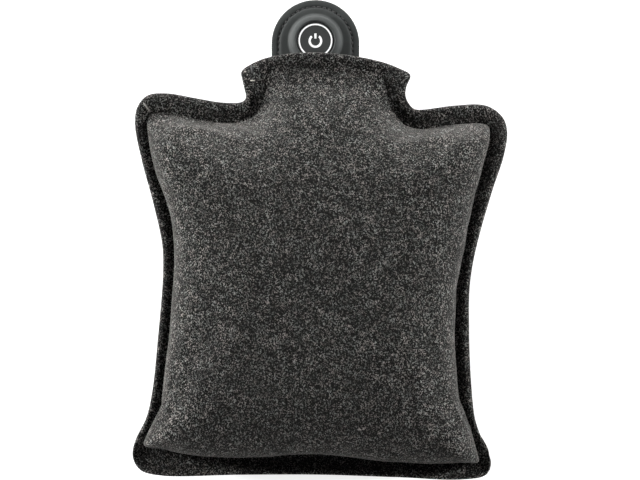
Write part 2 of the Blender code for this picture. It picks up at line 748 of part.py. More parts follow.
def zip_stops():
    """Two small clips past the last teeth, and one across both tapes at the closed end of the slot."""
    metal = material("zip_metal", (0.10, 0.10, 0.105), 0.35, 1.0)
    clip_x = CHAIN_END + TOOTH_PITCH + FIT
    half = STOP_THICK / 2
    for name, way in (("zip_stop_upper", 1), ("zip_stop_lower", -1)):
        near = COMB_SPINE_OUT - TAPE_THICK - FIT
        far = near + STOP_REACH + FIT
        rows = sorted((ZIP_Y + way * near, ZIP_Y + way * far))
        clip = block(
            name,
            (clip_x, rows[0], TAPE_MIDDLE - half),
            (clip_x + STOP_LENGTH, rows[1], TAPE_MIDDLE + half),
            metal,
        )
        slot = sorted((ZIP_Y + way * (near + FIT), ZIP_Y + way * (far + OVERRUN)))
        gap = TAPE_THICK / 2 + FIT / 2
        cutter = block(
            name + "_cutter",
            (clip_x - OVERRUN, slot[0] - FIT / 2, TAPE_MIDDLE - gap),
            (clip_x + STOP_LENGTH + OVERRUN, slot[1] + FIT / 2, TAPE_MIDDLE + gap),
        )
        boolean(clip, cutter)
    low_x = CHAIN_START - TOOTH_PITCH / 2 - FIT - STOP_LENGTH
    block(
        "zip_end_stop",
        (low_x, ZIP_Y - COMB_SPINE_IN, TAPE_MIDDLE - half),
        (low_x + STOP_LENGTH, ZIP_Y + COMB_SPINE_IN, TAPE_MIDDLE + half),
        metal,
        FIT,
    )


def slider_plate_outline(side):
    """Half of the slider's cross-section: a plate whose edges turn in over the teeth."""
    low = TAPE_THICK / 2 + SLIDER_CLEAR
    flat = CHANNEL_HALF_HEIGHT
    top = flat + SLIDER_PLATE
    wide = SLIDER_HALF_WIDTH
    inner = SLIDER_CHANNEL_HALF
    half = [(-wide, low), (-wide, top), (wide, top), (wide, low), (inner, low), (inner, flat)]
    half += [(-inner, flat), (-inner, low)]
    return [(ZIP_Y + y, TAPE_MIDDLE + side * z) for y, z in half]


def zip_slider():
    metal = material("zip_metal", (0.10, 0.10, 0.105), 0.35, 1.0)
    low_x = SLIDER_X
    high_x = SLIDER_X + SLIDER_LENGTH
    body = prism("zip_slider", slider_plate_outline(1), low_x, high_x, metal, "YZ")
    lower = prism("zip_slider_lower_plate", slider_plate_outline(-1), low_x, high_x, None, "YZ")
    boolean(body, lower, "UNION")
    post = block(
        "zip_slider_post",
        (high_x - SLIDER_POST_LENGTH, ZIP_Y - SLIDER_POST / 2, SLIDER_BOTTOM + SLIDER_PLATE / 2),
        (high_x - FIT, ZIP_Y + SLIDER_POST / 2, SLIDER_TOP - SLIDER_PLATE / 2),
    )
    boolean(body, post, "UNION")
    pin_x = SLIDER_X + SLIDER_LENGTH / 2
    pin_z = SLIDER_BOTTOM - PULL_EYE_RADIUS - FIT
    for name, way in (("zip_slider_lug_upper", 1), ("zip_slider_lug_lower", -1)):
        rows = sorted((ZIP_Y + way * LUG_SPACING / 2, ZIP_Y + way * (LUG_SPACING / 2 + LUG_THICK)))
        lug = block(
            name,
            (pin_x - LUG_LENGTH / 2, rows[0], pin_z - PULL_EYE_RADIUS * 0.8),
            (pin_x + LUG_LENGTH / 2, rows[1], SLIDER_BOTTOM + SLIDER_PLATE / 2),
        )
        boolean(body, lug, "UNION")
    reach = LUG_SPACING / 2 + LUG_THICK / 2
    pin = prism(
        "zip_slider_pin",
        ring_outline(PULL_PIN_RADIUS, SMALL_ROUND_STEPS, (pin_x, pin_z)),
        ZIP_Y - reach,
        ZIP_Y + reach,
        None,
        "XZ",
    )
    boolean(body, pin, "UNION")
    return pin_x, pin_z


def zip_pull(pin_x, pin_z):
    """A flat pull with an eye round the slider's pin; it lies along the slot, past the slider."""
    metal = material("zip_metal", (0.10, 0.10, 0.105), 0.35, 1.0)
    half = LUG_SPACING / 2 - FIT
    steps = SMALL_ROUND_STEPS
    pivot = bpy.data.objects.new("zip_pull_axis", None)
    pivot.location = (pin_x, ZIP_Y, pin_z)
    bpy.context.scene.collection.objects.link(pivot)
    eye = ring_outline(PULL_EYE_RADIUS, steps)
    pull = prism("zip_pull", eye, -half, half, metal, "XZ")
    tip = PULL_EYE_RADIUS + PULL_LENGTH
    shoulder = PULL_EYE_RADIUS + LUG_LENGTH
    wide = PULL_WIDTH / 2
    blade = [(0.0, -half), (shoulder, -half), (shoulder + half, -wide)]
    blade += [(tip + wide * math.sin(a), -wide * math.cos(a)) for a in np.linspace(0.0, math.pi, 7)]
    blade += [(shoulder + half, wide), (shoulder, half), (0.0, half)]
    thick = PULL_THICK / 2
    plate = prism("zip_pull_blade", blade, -thick, thick)
    hole = prism(
        "zip_pull_hole", ring_outline(PULL_HOLE_RADIUS, steps, (tip, 0.0)), -thick - OVERRUN, thick + OVERRUN
    )
    bore = prism(
        "zip_pull_bore",
        ring_outline(PULL_PIN_RADIUS + PULL_EYE_GAP, steps),
        -half - OVERRUN,
        half + OVERRUN,
        None,
        "XZ",
    )
    for item in (pull, plate, hole, bore):
        item.parent = pivot
    boolean(pull, plate, "UNION")
    boolean(pull, hole)
    boolean(pull, bore)


# Inner cushion and heating layer

def inner_stack(form, side, kept):
    """Rings, normals and middle point for an inner layer: every second ray of the kept rings."""
    rings, middle = skin_rings(form, side)
    normals = normals_of(form, rings, middle, side)
    kept = list(kept)
    rings[CREASE_RING_INDEX, :, :2] += form.inward * INNER_EDGE_INSET
    normals[..., :2] *= INNER_WALL_EASE
    return rings[kept][:, ::INNER_RAY_STEP_COUNT], normals[kept][:, ::INNER_RAY_STEP_COUNT], middle


def lining(stacks):
    cloth = material("lining", (0.30, 0.29, 0.28), 0.9)
    top = block(
        "lining_top_cutter",
        (-COVER_WIDTH, LINING_TOP_Y, 0.0),
        (COVER_WIDTH, COVER_LENGTH, SEAM_HEIGHT + FRONT_RISE),
    )
    sides = (("lining_front", 1, FRONT_LINING_DEPTH), ("lining_back", -1, BACK_LINING_DEPTH))
    for name, side, depth in sides:
        rings, normals, middle = stacks[side]
        outer, outer_middle = layer(rings, normals, middle, side, depth, LINING)
        inner, inner_middle = layer(rings, normals, middle, side, depth + LINING)
        inner[0, :, 2] = outer[0, :, 2] - side * LINING
        item = place(name, shell_mesh(name, outer, outer_middle, inner, inner_middle), cloth)
        boolean(smooth(item, 60), top)
    slit = block(
        "lining_slit_cutter",
        (-SLOT_HALF_LENGTH, ZIP_Y - SLIT_HALF_WIDTH, BACK_LINING_DEPTH - OVERRUN),
        (SLOT_HALF_LENGTH, ZIP_Y + SLIT_HALF_WIDTH, BACK_LINING_DEPTH + LINING + OVERRUN),
    )
    boolean(bpy.data.objects["lining_back"], slit)


def solid_mesh(name, rings, middle, level):
    """A closed filling between a stack of rings and the seam plane."""
    count = rings.shape[1]
    points = list(rings.reshape(-1, 3)) + [middle]
    tip = len(points) - 1
    faces = []
    for k in range(len(rings) - 1):
        for i in range(count):
            j = (i + 1) % count
            a = k * count
            faces.append((a + i, a + j, a + count + j, a + count + i))
    last = (len(rings) - 1) * count
    faces += [(last + i, last + (i + 1) % count, tip) for i in range(count)]
    base = len(points)
    points += [(x, y, level) for x, y, _ in rings[0]]
    faces += [(i, (i + 1) % count, base + (i + 1) % count, base + i) for i in range(count)]
    faces.append(tuple(range(base, base + count)))
    return mesh_of(name, points, faces)


def filling(stacks, cutters):
    foam = material("filling", (0.80, 0.78, 0.72), 0.95)
    top = block(
        "filling_top_cutter",
        (-COVER_WIDTH, FOAM_TOP_Y, 0.0),
        (COVER_WIDTH, COVER_LENGTH, SEAM_HEIGHT + FRONT_RISE),
    )
    made = {}
    for name, side, depth in (("filling_front", 1, FRONT_FOAM_DEPTH), ("filling_back", -1, FOAM_LOW)):
        rings, normals, middle = stacks[side]
        stack, stack_middle = layer(rings, normals, middle, side, depth, FIT)
        level = SEAM_HEIGHT + side * HALF_GAP
        made[name] = place(name, solid_mesh(name, stack, stack_middle, level), foam)
        boolean(smooth(made[name], 60), top)
        for cutter in cutters[name]:
            boolean(made[name], cutter)
    return made


def heating_layer(form):
    """A felted sheet in the shape of the body, over the front filling."""
    rings, normals, middle = inner_stack(form, 1, HEATER_RINGS)
    top, top_middle = layer(rings, normals, middle, 1, HEATER_DEPTH)
    low, low_middle = layer(rings, normals, middle, 1, HEATER_DEPTH + HEATER_THICK)
    sheet = material("heating_layer", (0.62, 0.60, 0.57), 0.95)
    mesh = shell_mesh("heating_layer", top, top_middle, low, low_middle)
    return smooth(place("heating_layer", mesh, sheet), 60)


def wire_plan():
    """The wire's route seen from above: down the left half in rows, and back up the right half."""
    turn = WIRE_PITCH / 4
    inner = WIRE_INNER
    outer = WIRE_HALF_SPAN
    left = []
    for row in range(WIRE_ROW_COUNT):
        y = WIRE_TOP_Y - row * WIRE_PITCH
        ends = (-inner, -outer) if row % 2 == 0 else (-outer, -inner)
        steps = max(2, round(abs(ends[1] - ends[0]) / WIRE_POINT_STEP))
        left += [(x, y) for x in np.linspace(ends[0], ends[1], steps)]
        if row < WIRE_ROW_COUNT - 1:
            reach = math.copysign(turn, ends[1] + (inner + outer) / 2)
            left += [(ends[1] + reach, y - turn), (ends[1] + reach, y - 3 * turn)]
    mirrored = [(-x, y) for x, y in reversed(left)]
    return left, mirrored


def heating_wire(sheet):
    """Two halves of one loop, laid on the sheet, that end at the terminal block."""
    copper = material("heating_wire", (0.35, 0.12, 0.05), 0.5)
    sheet_mesh = sheet.data
    tree = BVHTree.FromPolygons(
        [vertex.co.copy() for vertex in sheet_mesh.vertices],
        [tuple(face.vertices) for face in sheet_mesh.polygons],
    )
    lift = WIRE_RADIUS + WIRE_LIFT

    def on_sheet(x, y, above):
        start = Vector((x, y, SEAM_HEIGHT + COVER_LENGTH))
        spot, facing, _, _ = tree.ray_cast(start, Vector((0, 0, -1)))
        return (x, y, spot.z + above / abs(facing.z))

    left, right = wire_plan()
    start = (-WIRE_INNER, WIRE_TOP_Y + TERMINAL_SETBACK - TERMINAL_WIDTH / 2 - FIT)
    end = (WIRE_INNER, start[1])
    route = [start] + left + right + [end]
    tube("heating_wire", [on_sheet(x, y, lift) for x, y in route], WIRE_RADIUS, copper)
    return on_sheet


def terminal(on_sheet):
    """The small block where the heating wire meets its lead."""
    plastic = material("dark_plastic", (0.03, 0.03, 0.032), 0.5)
    y = WIRE_TOP_Y + TERMINAL_SETBACK
    half = TERMINAL_WIDTH / 2
    heights = [on_sheet(x, y + dy, FIT)[2] for x in (-TERMINAL_LENGTH / 2, 0.0, TERMINAL_LENGTH / 2)
               for dy in (-half, half)]
    low = max(heights)
    slope = math.atan2(on_sheet(0.0, y + half, 0.0)[2] - on_sheet(0.0, y - half, 0.0)[2], TERMINAL_WIDTH)
    item = block(
        "wire_terminal",
        (-TERMINAL_LENGTH / 2, -half, 0.0),
        (TERMINAL_LENGTH / 2, half, TERMINAL_THICK),
        plastic,
        FIT,
    )
    middle = (heights[2] + heights[3]) / 2
    item.location = (0.0, y, middle + (low - middle) * 0.2)
    item.rotation_euler = (slope, 0.0, 0.0)
    return y, middle


# Battery pack

def battery_case():
    shell = material("battery_case", (0.035, 0.035, 0.037), 0.45)
    wide = CASE_HALF_WIDTH
    inner_wide = wide - CASE_WALL
    split_gap = FIT / 2
    hollow_low = CASE_LOW + CASE_WALL
    hollow_high = CASE_LOW + CASE_HEIGHT - CASE_WALL
    spans = {
        "battery_case_base": (CASE_LOW, CASE_SPLIT - split_gap, hollow_low, CASE_SPLIT + OVERRUN),
        "battery_case_lid": (
            CASE_SPLIT + split_gap, CASE_LOW + CASE_HEIGHT, CASE_SPLIT - OVERRUN, hollow_high
        ),
    }
    for name, (low, high, cut_low, cut_high) in spans.items():
        outline = rounded_outline(0.0, CASE_MIDDLE_Y, wide, CASE_LENGTH / 2, CASE_ROUND)
        half = prism(name, outline, low, high, shell)
        inside = rounded_outline(
            0.0, CASE_MIDDLE_Y, inner_wide, CASE_LENGTH / 2 - CASE_WALL, CASE_ROUND - CASE_WALL
        )
        boolean(half, prism(name + "_hollow", inside, cut_low, cut_high))
    lid = bpy.data.objects["battery_case_lid"]
    socket_hole = block(
        "battery_socket_hole",
        (-SOCKET_WIDTH / 2 - FIT, CASE_LOW_Y - OVERRUN, SOCKET_Z - SOCKET_HEIGHT / 2 - FIT),
        (SOCKET_WIDTH / 2 + FIT, CASE_LOW_Y + CASE_WALL + OVERRUN, SOCKET_Z + SOCKET_HEIGHT / 2 + FIT),
    )
    boolean(lid, socket_hole)
    for name, x, radius in (("lead", LEAD_X, LEAD_RADIUS), ("heater_lead", -LEAD_X, HEATER_LEAD_RADIUS)):
        hole = prism(
            name + "_hole",
            ring_outline(radius + FIT, SMALL_ROUND_STEPS, (x, SOCKET_Z)),
            CASE_TOP_Y - CASE_WALL - OVERRUN,
            CASE_TOP_Y + OVERRUN,
            None,
            "XZ",
        )
        boolean(lid, hole)


def rounded_outline(x, y, half_width, half_length, radius, steps=4):
    """A rectangle with round corners."""
    points = []
    for turn, (sx, sy) in enumerate(((1, 1), (-1, 1), (-1, -1), (1, -1))):
        for k in range(steps + 1):
            angle = math.pi / 2 * (turn + k / steps)
            points.append(
                (
                    x + sx * (half_width - radius) + radius * math.cos(angle),
                    y + sy * (half_length - radius) + radius * math.sin(angle),
                )
            )
    return points


def cells():
    wrap = material("cell_wrap", (0.02, 0.20, 0.12), 0.4)
    for name, x, way in (("cell_left", -CELL_X, 1), ("cell_right", CELL_X, -1)):
        profile = [
            (0.0, 0.0), (CELL_RADIUS, 0.0), (CELL_RADIUS, CELL_LENGTH), (CELL_NUB_RADIUS, CELL_LENGTH),
            (CELL_NUB_RADIUS, CELL_LENGTH + CELL_NUB), (0.0, CELL_LENGTH + CELL_NUB),
        ]
        cell = turned(name, profile, (0.0, 0.0, 0.0), 24, wrap)
        low = CELL_TOP_Y - CELL_LENGTH - CELL_NUB
        start = low if way > 0 else CELL_TOP_Y
        turn = -math.pi / 2 if way > 0 else math.pi / 2
        cell.location = (x, start, CASE_SPLIT)
        cell.rotation_euler = (turn, 0.0, 0.0)
        smooth(cell)
    nickel = material("nickel", (0.60, 0.58, 0.54), 0.3, 1.0)
    half = LINK_WIDTH / 2
    front_y = CELL_TOP_Y + FIT
    block(
        "cell_link_front",
        (-CELL_X - half, front_y, CASE_SPLIT - half),
        (CELL_X + half, front_y + LINK_THICK, CASE_SPLIT + half),
        nickel,
    )
    rear_y = CELL_TOP_Y - CELL_LENGTH - CELL_NUB - FIT
    for name, x in (("cell_tab_left", -CELL_X), ("cell_tab_right", CELL_X)):
        block(
            name,
            (x - half, rear_y - LINK_THICK, CASE_SPLIT - half),
            (x + half, rear_y, CASE_SPLIT + half),
            nickel,
        )
    return rear_y - LINK_THICK - FIT


def protection_board(board_y):
    green = material("circuit_board", (0.02, 0.10, 0.05), 0.45)
    steel = material("socket_steel", (0.55, 0.55, 0.56), 0.3, 1.0)
    wide = CASE_HALF_WIDTH - CASE_WALL - BOARD_MARGIN
    low = CASE_LOW + CASE_WALL + BOARD_MARGIN
    high = CASE_LOW + CASE_HEIGHT - CASE_WALL - BOARD_MARGIN
    board = block("protection_board", (-wide, board_y - BOARD_THICK, low), (wide, board_y, high), green)
    chip_y = board_y - BOARD_THICK
    chip = block(
        "protection_board_chip",
        (CHIP_X - CHIP_WIDTH / 2, chip_y - CHIP_HEIGHT, low + BOARD_MARGIN),
        (CHIP_X + CHIP_WIDTH / 2, chip_y + BOARD_THICK / 2, low + BOARD_MARGIN + CHIP_LENGTH),
    )
    boolean(board, chip, "UNION")
    front = chip_y - FIT
    mouth = CASE_LOW_Y
    width = SOCKET_WIDTH / 2
    height = SOCKET_HEIGHT / 2
    outline = rounded_outline(0.0, SOCKET_Z, width, height, SOCKET_CORNER, 3)
    socket = prism("charging_socket", outline, mouth, front, steel, "XZ")
    inside = rounded_outline(
        0.0, SOCKET_Z, width - SOCKET_WALL, height - SOCKET_WALL, SOCKET_CORNER - SOCKET_WALL, 3
    )
    boolean(socket, prism("charging_socket_hollow", inside, mouth - OVERRUN, front - SOCKET_WALL, None, "XZ"))
    tongue = block(
        "charging_socket_tongue",
        (-SOCKET_TONGUE_WIDTH / 2, mouth + SOCKET_WALL, SOCKET_Z - SOCKET_TONGUE_THICK / 2),
        (SOCKET_TONGUE_WIDTH / 2, front - SOCKET_WALL / 2, SOCKET_Z + SOCKET_TONGUE_THICK / 2),
    )
    boolean(socket, tongue, "UNION")


def leads(terminal_y, terminal_z):
    """The lead from the battery to the tab's connector, and the one up to the heating wire."""
    rubber = material("lead", (0.02, 0.02, 0.02), 0.6)
    start = CASE_TOP_Y - CASE_WALL - FIT
    mid = (CASE_TOP_Y + CONNECTOR_Y) / 2
    to_tab = smooth_path(
        [
            (LEAD_X, start, SOCKET_Z),
            (LEAD_X, CASE_TOP_Y + LEAD_STRAIGHT, SOCKET_Z),
            ((LEAD_X + TAB_X) / 2, mid, (SOCKET_Z + SEAM_HEIGHT) / 2),
            (TAB_X, CONNECTOR_Y - CONNECTOR_LENGTH / 2, SEAM_HEIGHT),
            (TAB_X, CONNECTOR_Y - FIT, SEAM_HEIGHT),
        ],
        5,
    )
    tube("battery_lead", to_tab, LEAD_RADIUS, rubber)
    rise = [
        (-LEAD_X, start, SOCKET_Z),
        (-LEAD_X, CASE_TOP_Y + LEAD_STRAIGHT, SOCKET_Z),
        (-LEAD_X / 2, (CASE_TOP_Y + terminal_y - LEAD_BEND) / 2, SOCKET_Z),
        (0.0, terminal_y - LEAD_BEND, SOCKET_Z),
    ]
    route = list(smooth_path(rise, 5))
    for k in range(1, BEND_STEPS + 1):
        angle = math.pi / 2 * k / BEND_STEPS
        across = LEAD_BEND * (1 - math.sin(angle))
        route.append((0.0, terminal_y - across, SOCKET_Z + LEAD_BEND * (1 - math.cos(angle))))
    route.append((0.0, terminal_y, terminal_z - FIT * 2))
    tube("heater_lead", route, HEATER_LEAD_RADIUS, rubber)


def filling_cutters(terminal_y):
    """Pocket, channel and grooves in the two halves of the filling."""
    pocket = block(
        "battery_pocket",
        (-CASE_HALF_WIDTH - FIT, ZIP_Y - SLIT_HALF_WIDTH, 0.0),
        (CASE_HALF_WIDTH + FIT, CASE_TOP_Y + FIT, SEAM_HEIGHT + OVERRUN),
    )
    channel = block(
        "zip_channel",
        (-SLOT_HALF_LENGTH, ZIP_Y - SLIT_HALF_WIDTH, 0.0),
        (SLOT_HALF_LENGTH, ZIP_Y + SLIT_HALF_WIDTH, SLIDER_TOP + CHANNEL_HEADROOM),
    )
    width = CONNECTOR_WIDTH / 2 + FIT
    lead_trench = block(
        "lead_trench",
        (LEAD_X - LEAD_RADIUS - FIT, CASE_TOP_Y, SOCKET_Z - LEAD_RADIUS - FIT),
        (TAB_X + width, CONNECTOR_Y - FIT, SEAM_HEIGHT + LEAD_RADIUS + FIT),
    )
    heater_trench = block(
        "heater_lead_trench",
        (-HEATER_LEAD_RADIUS - FIT, CASE_TOP_Y, SOCKET_Z - HEATER_LEAD_RADIUS - FIT),
        (-LEAD_X + HEATER_LEAD_RADIUS + FIT, terminal_y + HEATER_LEAD_RADIUS + FIT, SEAM_HEIGHT + OVERRUN),
    )
    hole = prism(
        "heater_lead_hole",
        ring_outline(HEATER_LEAD_RADIUS + FIT, SMALL_ROUND_STEPS, (0.0, terminal_y)),
        SEAM_HEIGHT - OVERRUN,
        SEAM_HEIGHT + FRONT_RISE + OVERRUN,
    )
    plug_bed = block(
        "connector_bed",
        (TAB_X - width, CONNECTOR_Y - FIT * 2, SEAM_HEIGHT - CONNECTOR_HEIGHT / 2 - FIT),
        (TAB_X + width, TAB_TAIL_Y, SEAM_HEIGHT + CONNECTOR_HEIGHT / 2 + FIT),
    )
    depth = TAB_CORE_HALF + FIT / 2 + LEATHER + FIT
    tail_bed = block(
        "tab_tail_bed",
        (TAB_X - TAB_RADIUS - FIT, TAB_TAIL_Y - FIT, SEAM_HEIGHT - depth),
        (TAB_X + TAB_RADIUS + FIT, COVER_TOP_Y, SEAM_HEIGHT + depth),
    )
    return {
        "filling_front": [heater_trench, lead_trench, hole, plug_bed, tail_bed],
        "filling_back": [pocket, channel, lead_trench, heater_trench, plug_bed, tail_bed],
    }, hole


# Switch tab

def tab_outline(margin, low_y):
    """The strap: straight sides and a round top."""
    radius = TAB_RADIUS - margin
    points = [(TAB_X - radius, low_y), (TAB_X + radius, low_y)]
    for k in range(TAB_CORNER_COUNT + 1):
        angle = math.pi * k / TAB_CORNER_COUNT
        points.append((TAB_X + radius * math.cos(angle), TAB_ARC_Y + radius * math.sin(angle)))
    return points


def bump_profile(base, thick):
    """The leather formed over the housing: a low wall, a round shoulder and a lip round the button."""
    outer = [(BUMP_RADIUS * wide, base + BUMP_HEIGHT * up) for wide, up in BUMP_SHARES]
    outer.append((BUMP_LIP_RADIUS, base + BUMP_HEIGHT))
    inner = [
        (BUMP_LIP_RADIUS, base + BUMP_HEIGHT - thick),
        (HOUSING_RADIUS - thick * BEVEL_SHARES[0], base + BUMP_HEIGHT - thick),
        (HOUSING_RADIUS + FIT, base + BUMP_HEIGHT - thick * BEVEL_SHARES[1]),
        (HOUSING_RADIUS + FIT, base - thick),
        (outer[0][0], base - thick),
    ]
    return outer + inner


def tab_leathers():
    leather = material("tab_leather", (0.055, 0.060, 0.060), 0.55)
    inner_face = TAB_CORE_HALF + FIT / 2
    outline = tab_outline(0.0, TAB_TAIL_Y)
    low = SEAM_HEIGHT + inner_face
    front = prism("tab_leather_front", outline, low, low + LEATHER, leather)
    bore = prism(
        "tab_leather_bore",
        ring_outline(BUMP_RADIUS, ROUND_STEPS, (TAB_X, PUCK_Y)),
        low - OVERRUN,
        low + LEATHER + OVERRUN,
    )
    boolean(front, bore)
    profile = bump_profile(low + LEATHER, LEATHER)
    bump = turned("tab_leather_bump", profile, (TAB_X, PUCK_Y, 0.0), ROUND_STEPS)
    boolean(front, bump, "UNION")
    smooth(front, 40)
    prism(
        "tab_leather_back",
        outline,
        SEAM_HEIGHT - inner_face - LEATHER,
        SEAM_HEIGHT - inner_face,
        material("tab_leather_back", (0.05, 0.055, 0.055), 0.6),
    )


def tab_core():
    """The stiffening board between the leathers, with a hole for the housing and a slot for its cable."""
    board = material("dark_plastic", (0.03, 0.03, 0.032), 0.5)
    item = prism(
        "tab_stiffener",
        tab_outline(TAB_CORE_MARGIN, TAB_TAIL_Y),
        SEAM_HEIGHT - TAB_CORE_HALF,
        SEAM_HEIGHT + TAB_CORE_HALF,
        board,
    )
    hole = prism(
        "tab_stiffener_hole",
        ring_outline(HOUSING_RADIUS + FIT, ROUND_STEPS, (TAB_X, PUCK_Y)),
        SEAM_HEIGHT - OVERRUN,
        SEAM_HEIGHT + OVERRUN,
    )
    slot = block(
        "tab_stiffener_slot",
        (TAB_X - RIBBON_WIDTH / 2 - FIT, TAB_TAIL_Y - OVERRUN, SEAM_HEIGHT - OVERRUN),
        (TAB_X + RIBBON_WIDTH / 2 + FIT, PUCK_Y, SEAM_HEIGHT + OVERRUN),
    )
    boolean(item, hole)
    boolean(item, slot)


def housing_levels():
    """The heights of the housing's parts over the tab's middle plane."""
    floor_low = -TAB_CORE_HALF + FIT / 2
    floor_top = floor_low + HOUSING_FLOOR
    board_low = floor_top + BOARD_LIFT
    board_top = board_low + CONTROL_BOARD_THICK
    dome_low = board_top + FIT
    dome_top = dome_low + DOME_HEIGHT
    stem_low = dome_top + FIT
    flange_low = stem_low + STEM_LENGTH - FLANGE_THICK
    flange_top = flange_low + FLANGE_THICK
    bezel_low = flange_top + FIT
    bezel_top = bezel_low + BEZEL_THICK
    leather_top = TAB_CORE_HALF + FIT / 2 + LEATHER + BUMP_HEIGHT
    return {
        "floor_low": floor_low, "floor_top": floor_top, "board_low": board_low, "board_top": board_top,
        "dome_low": dome_low, "dome_top": dome_top, "stem_low": stem_low, "flange_low": flange_low,
        "flange_top": flange_top, "bezel_low": bezel_low, "bezel_top": bezel_top,
        "button_top": leather_top - BUTTON_BELOW_LIP,
    }


def switch_housing():
    plastic = material("dark_plastic", (0.03, 0.03, 0.032), 0.5)
    level = housing_levels()
    centre = (TAB_X, PUCK_Y, SEAM_HEIGHT)
    wall = HOUSING_RADIUS - HOUSING_WALL
    wall_top = level["bezel_low"] - FIT
    base = turned(
        "switch_housing",
        [(0.0, level["floor_low"]), (HOUSING_RADIUS, level["floor_low"]), (HOUSING_RADIUS, wall_top),
         (wall, wall_top), (wall, level["floor_top"]), (0.0, level["floor_top"])],
        centre,
        ROUND_STEPS,
        plastic,
    )
    notch = block(
        "switch_housing_notch",
        (TAB_X - RIBBON_WIDTH / 2 - FIT, PUCK_Y - HOUSING_RADIUS - OVERRUN, SEAM_HEIGHT - OVERRUN),
        (TAB_X + RIBBON_WIDTH / 2 + FIT, PUCK_Y - wall + RIBBON_ENTRY, SEAM_HEIGHT + level["board_low"]),
    )
    boolean(smooth(base), notch)
    bezel = turned(
        "switch_bezel",
        [(BUTTON_RADIUS + FIT, level["bezel_low"]), (HOUSING_RADIUS, level["bezel_low"]),
         (HOUSING_RADIUS, level["bezel_top"] - FIT), (HOUSING_RADIUS - FIT, level["bezel_top"]),
         (BUTTON_RADIUS + FIT, level["bezel_top"])],
        centre,
        ROUND_STEPS,
        plastic,
    )
    smooth(bezel)


def control_board():
    green = material("circuit_board", (0.02, 0.10, 0.05), 0.45)
    steel = material("dome_steel", (0.60, 0.60, 0.60), 0.25, 1.0)
    level = housing_levels()
    radius = HOUSING_RADIUS - HOUSING_WALL - FIT
    low = SEAM_HEIGHT + level["board_low"]
    top = SEAM_HEIGHT + level["board_top"]
    board = prism("control_board", ring_outline(radius, 32, (TAB_X, PUCK_Y)), low, top, green)
    middle = (RING_INNER + RING_OUTER) / 2
    half = LAMP_SIZE / 2
    for k in range(LAMP_COUNT):
        angle = 2 * math.pi * k / LAMP_COUNT
        x = TAB_X + middle * math.cos(angle)
        y = PUCK_Y + middle * math.sin(angle)
        lamp = block(
            f"control_board_lamp_{k}",
            (x - half, y - half, top - CONTROL_BOARD_THICK / 2),
            (x + half, y + half, top + LAMP_HEIGHT),
        )
        boolean(board, lamp, "UNION")
    dome_low = level["dome_low"]
    rim = DOME_HEIGHT / 3
    dome = turned(
        "snap_dome",
        [(0.0, level["dome_top"] - rim), (DOME_RADIUS * 0.55, level["dome_top"] - rim * 1.6),
         (DOME_RADIUS, dome_low), (DOME_RADIUS + rim, dome_low),
         (DOME_RADIUS * 0.62, level["dome_top"] - rim * 0.4), (0.0, level["dome_top"])],
        (TAB_X, PUCK_Y, SEAM_HEIGHT),
        SMALL_ROUND_STEPS,
        steel,
    )
    smooth(dome, 60)


def arc_outline(inner, outer, gap_degrees, steps, centre):
    """An open ring with its gap at the top."""
    half = math.radians(gap_degrees)
    start = math.pi / 2 + half
    span = 2 * math.pi - 2 * half
    points = []
    for radius, order in ((outer, range(steps + 1)), (inner, range(steps, -1, -1))):
        for k in order:
            angle = start + span * k / steps
            points.append((centre[0] + radius * math.cos(angle), centre[1] + radius * math.sin(angle)))
    return points


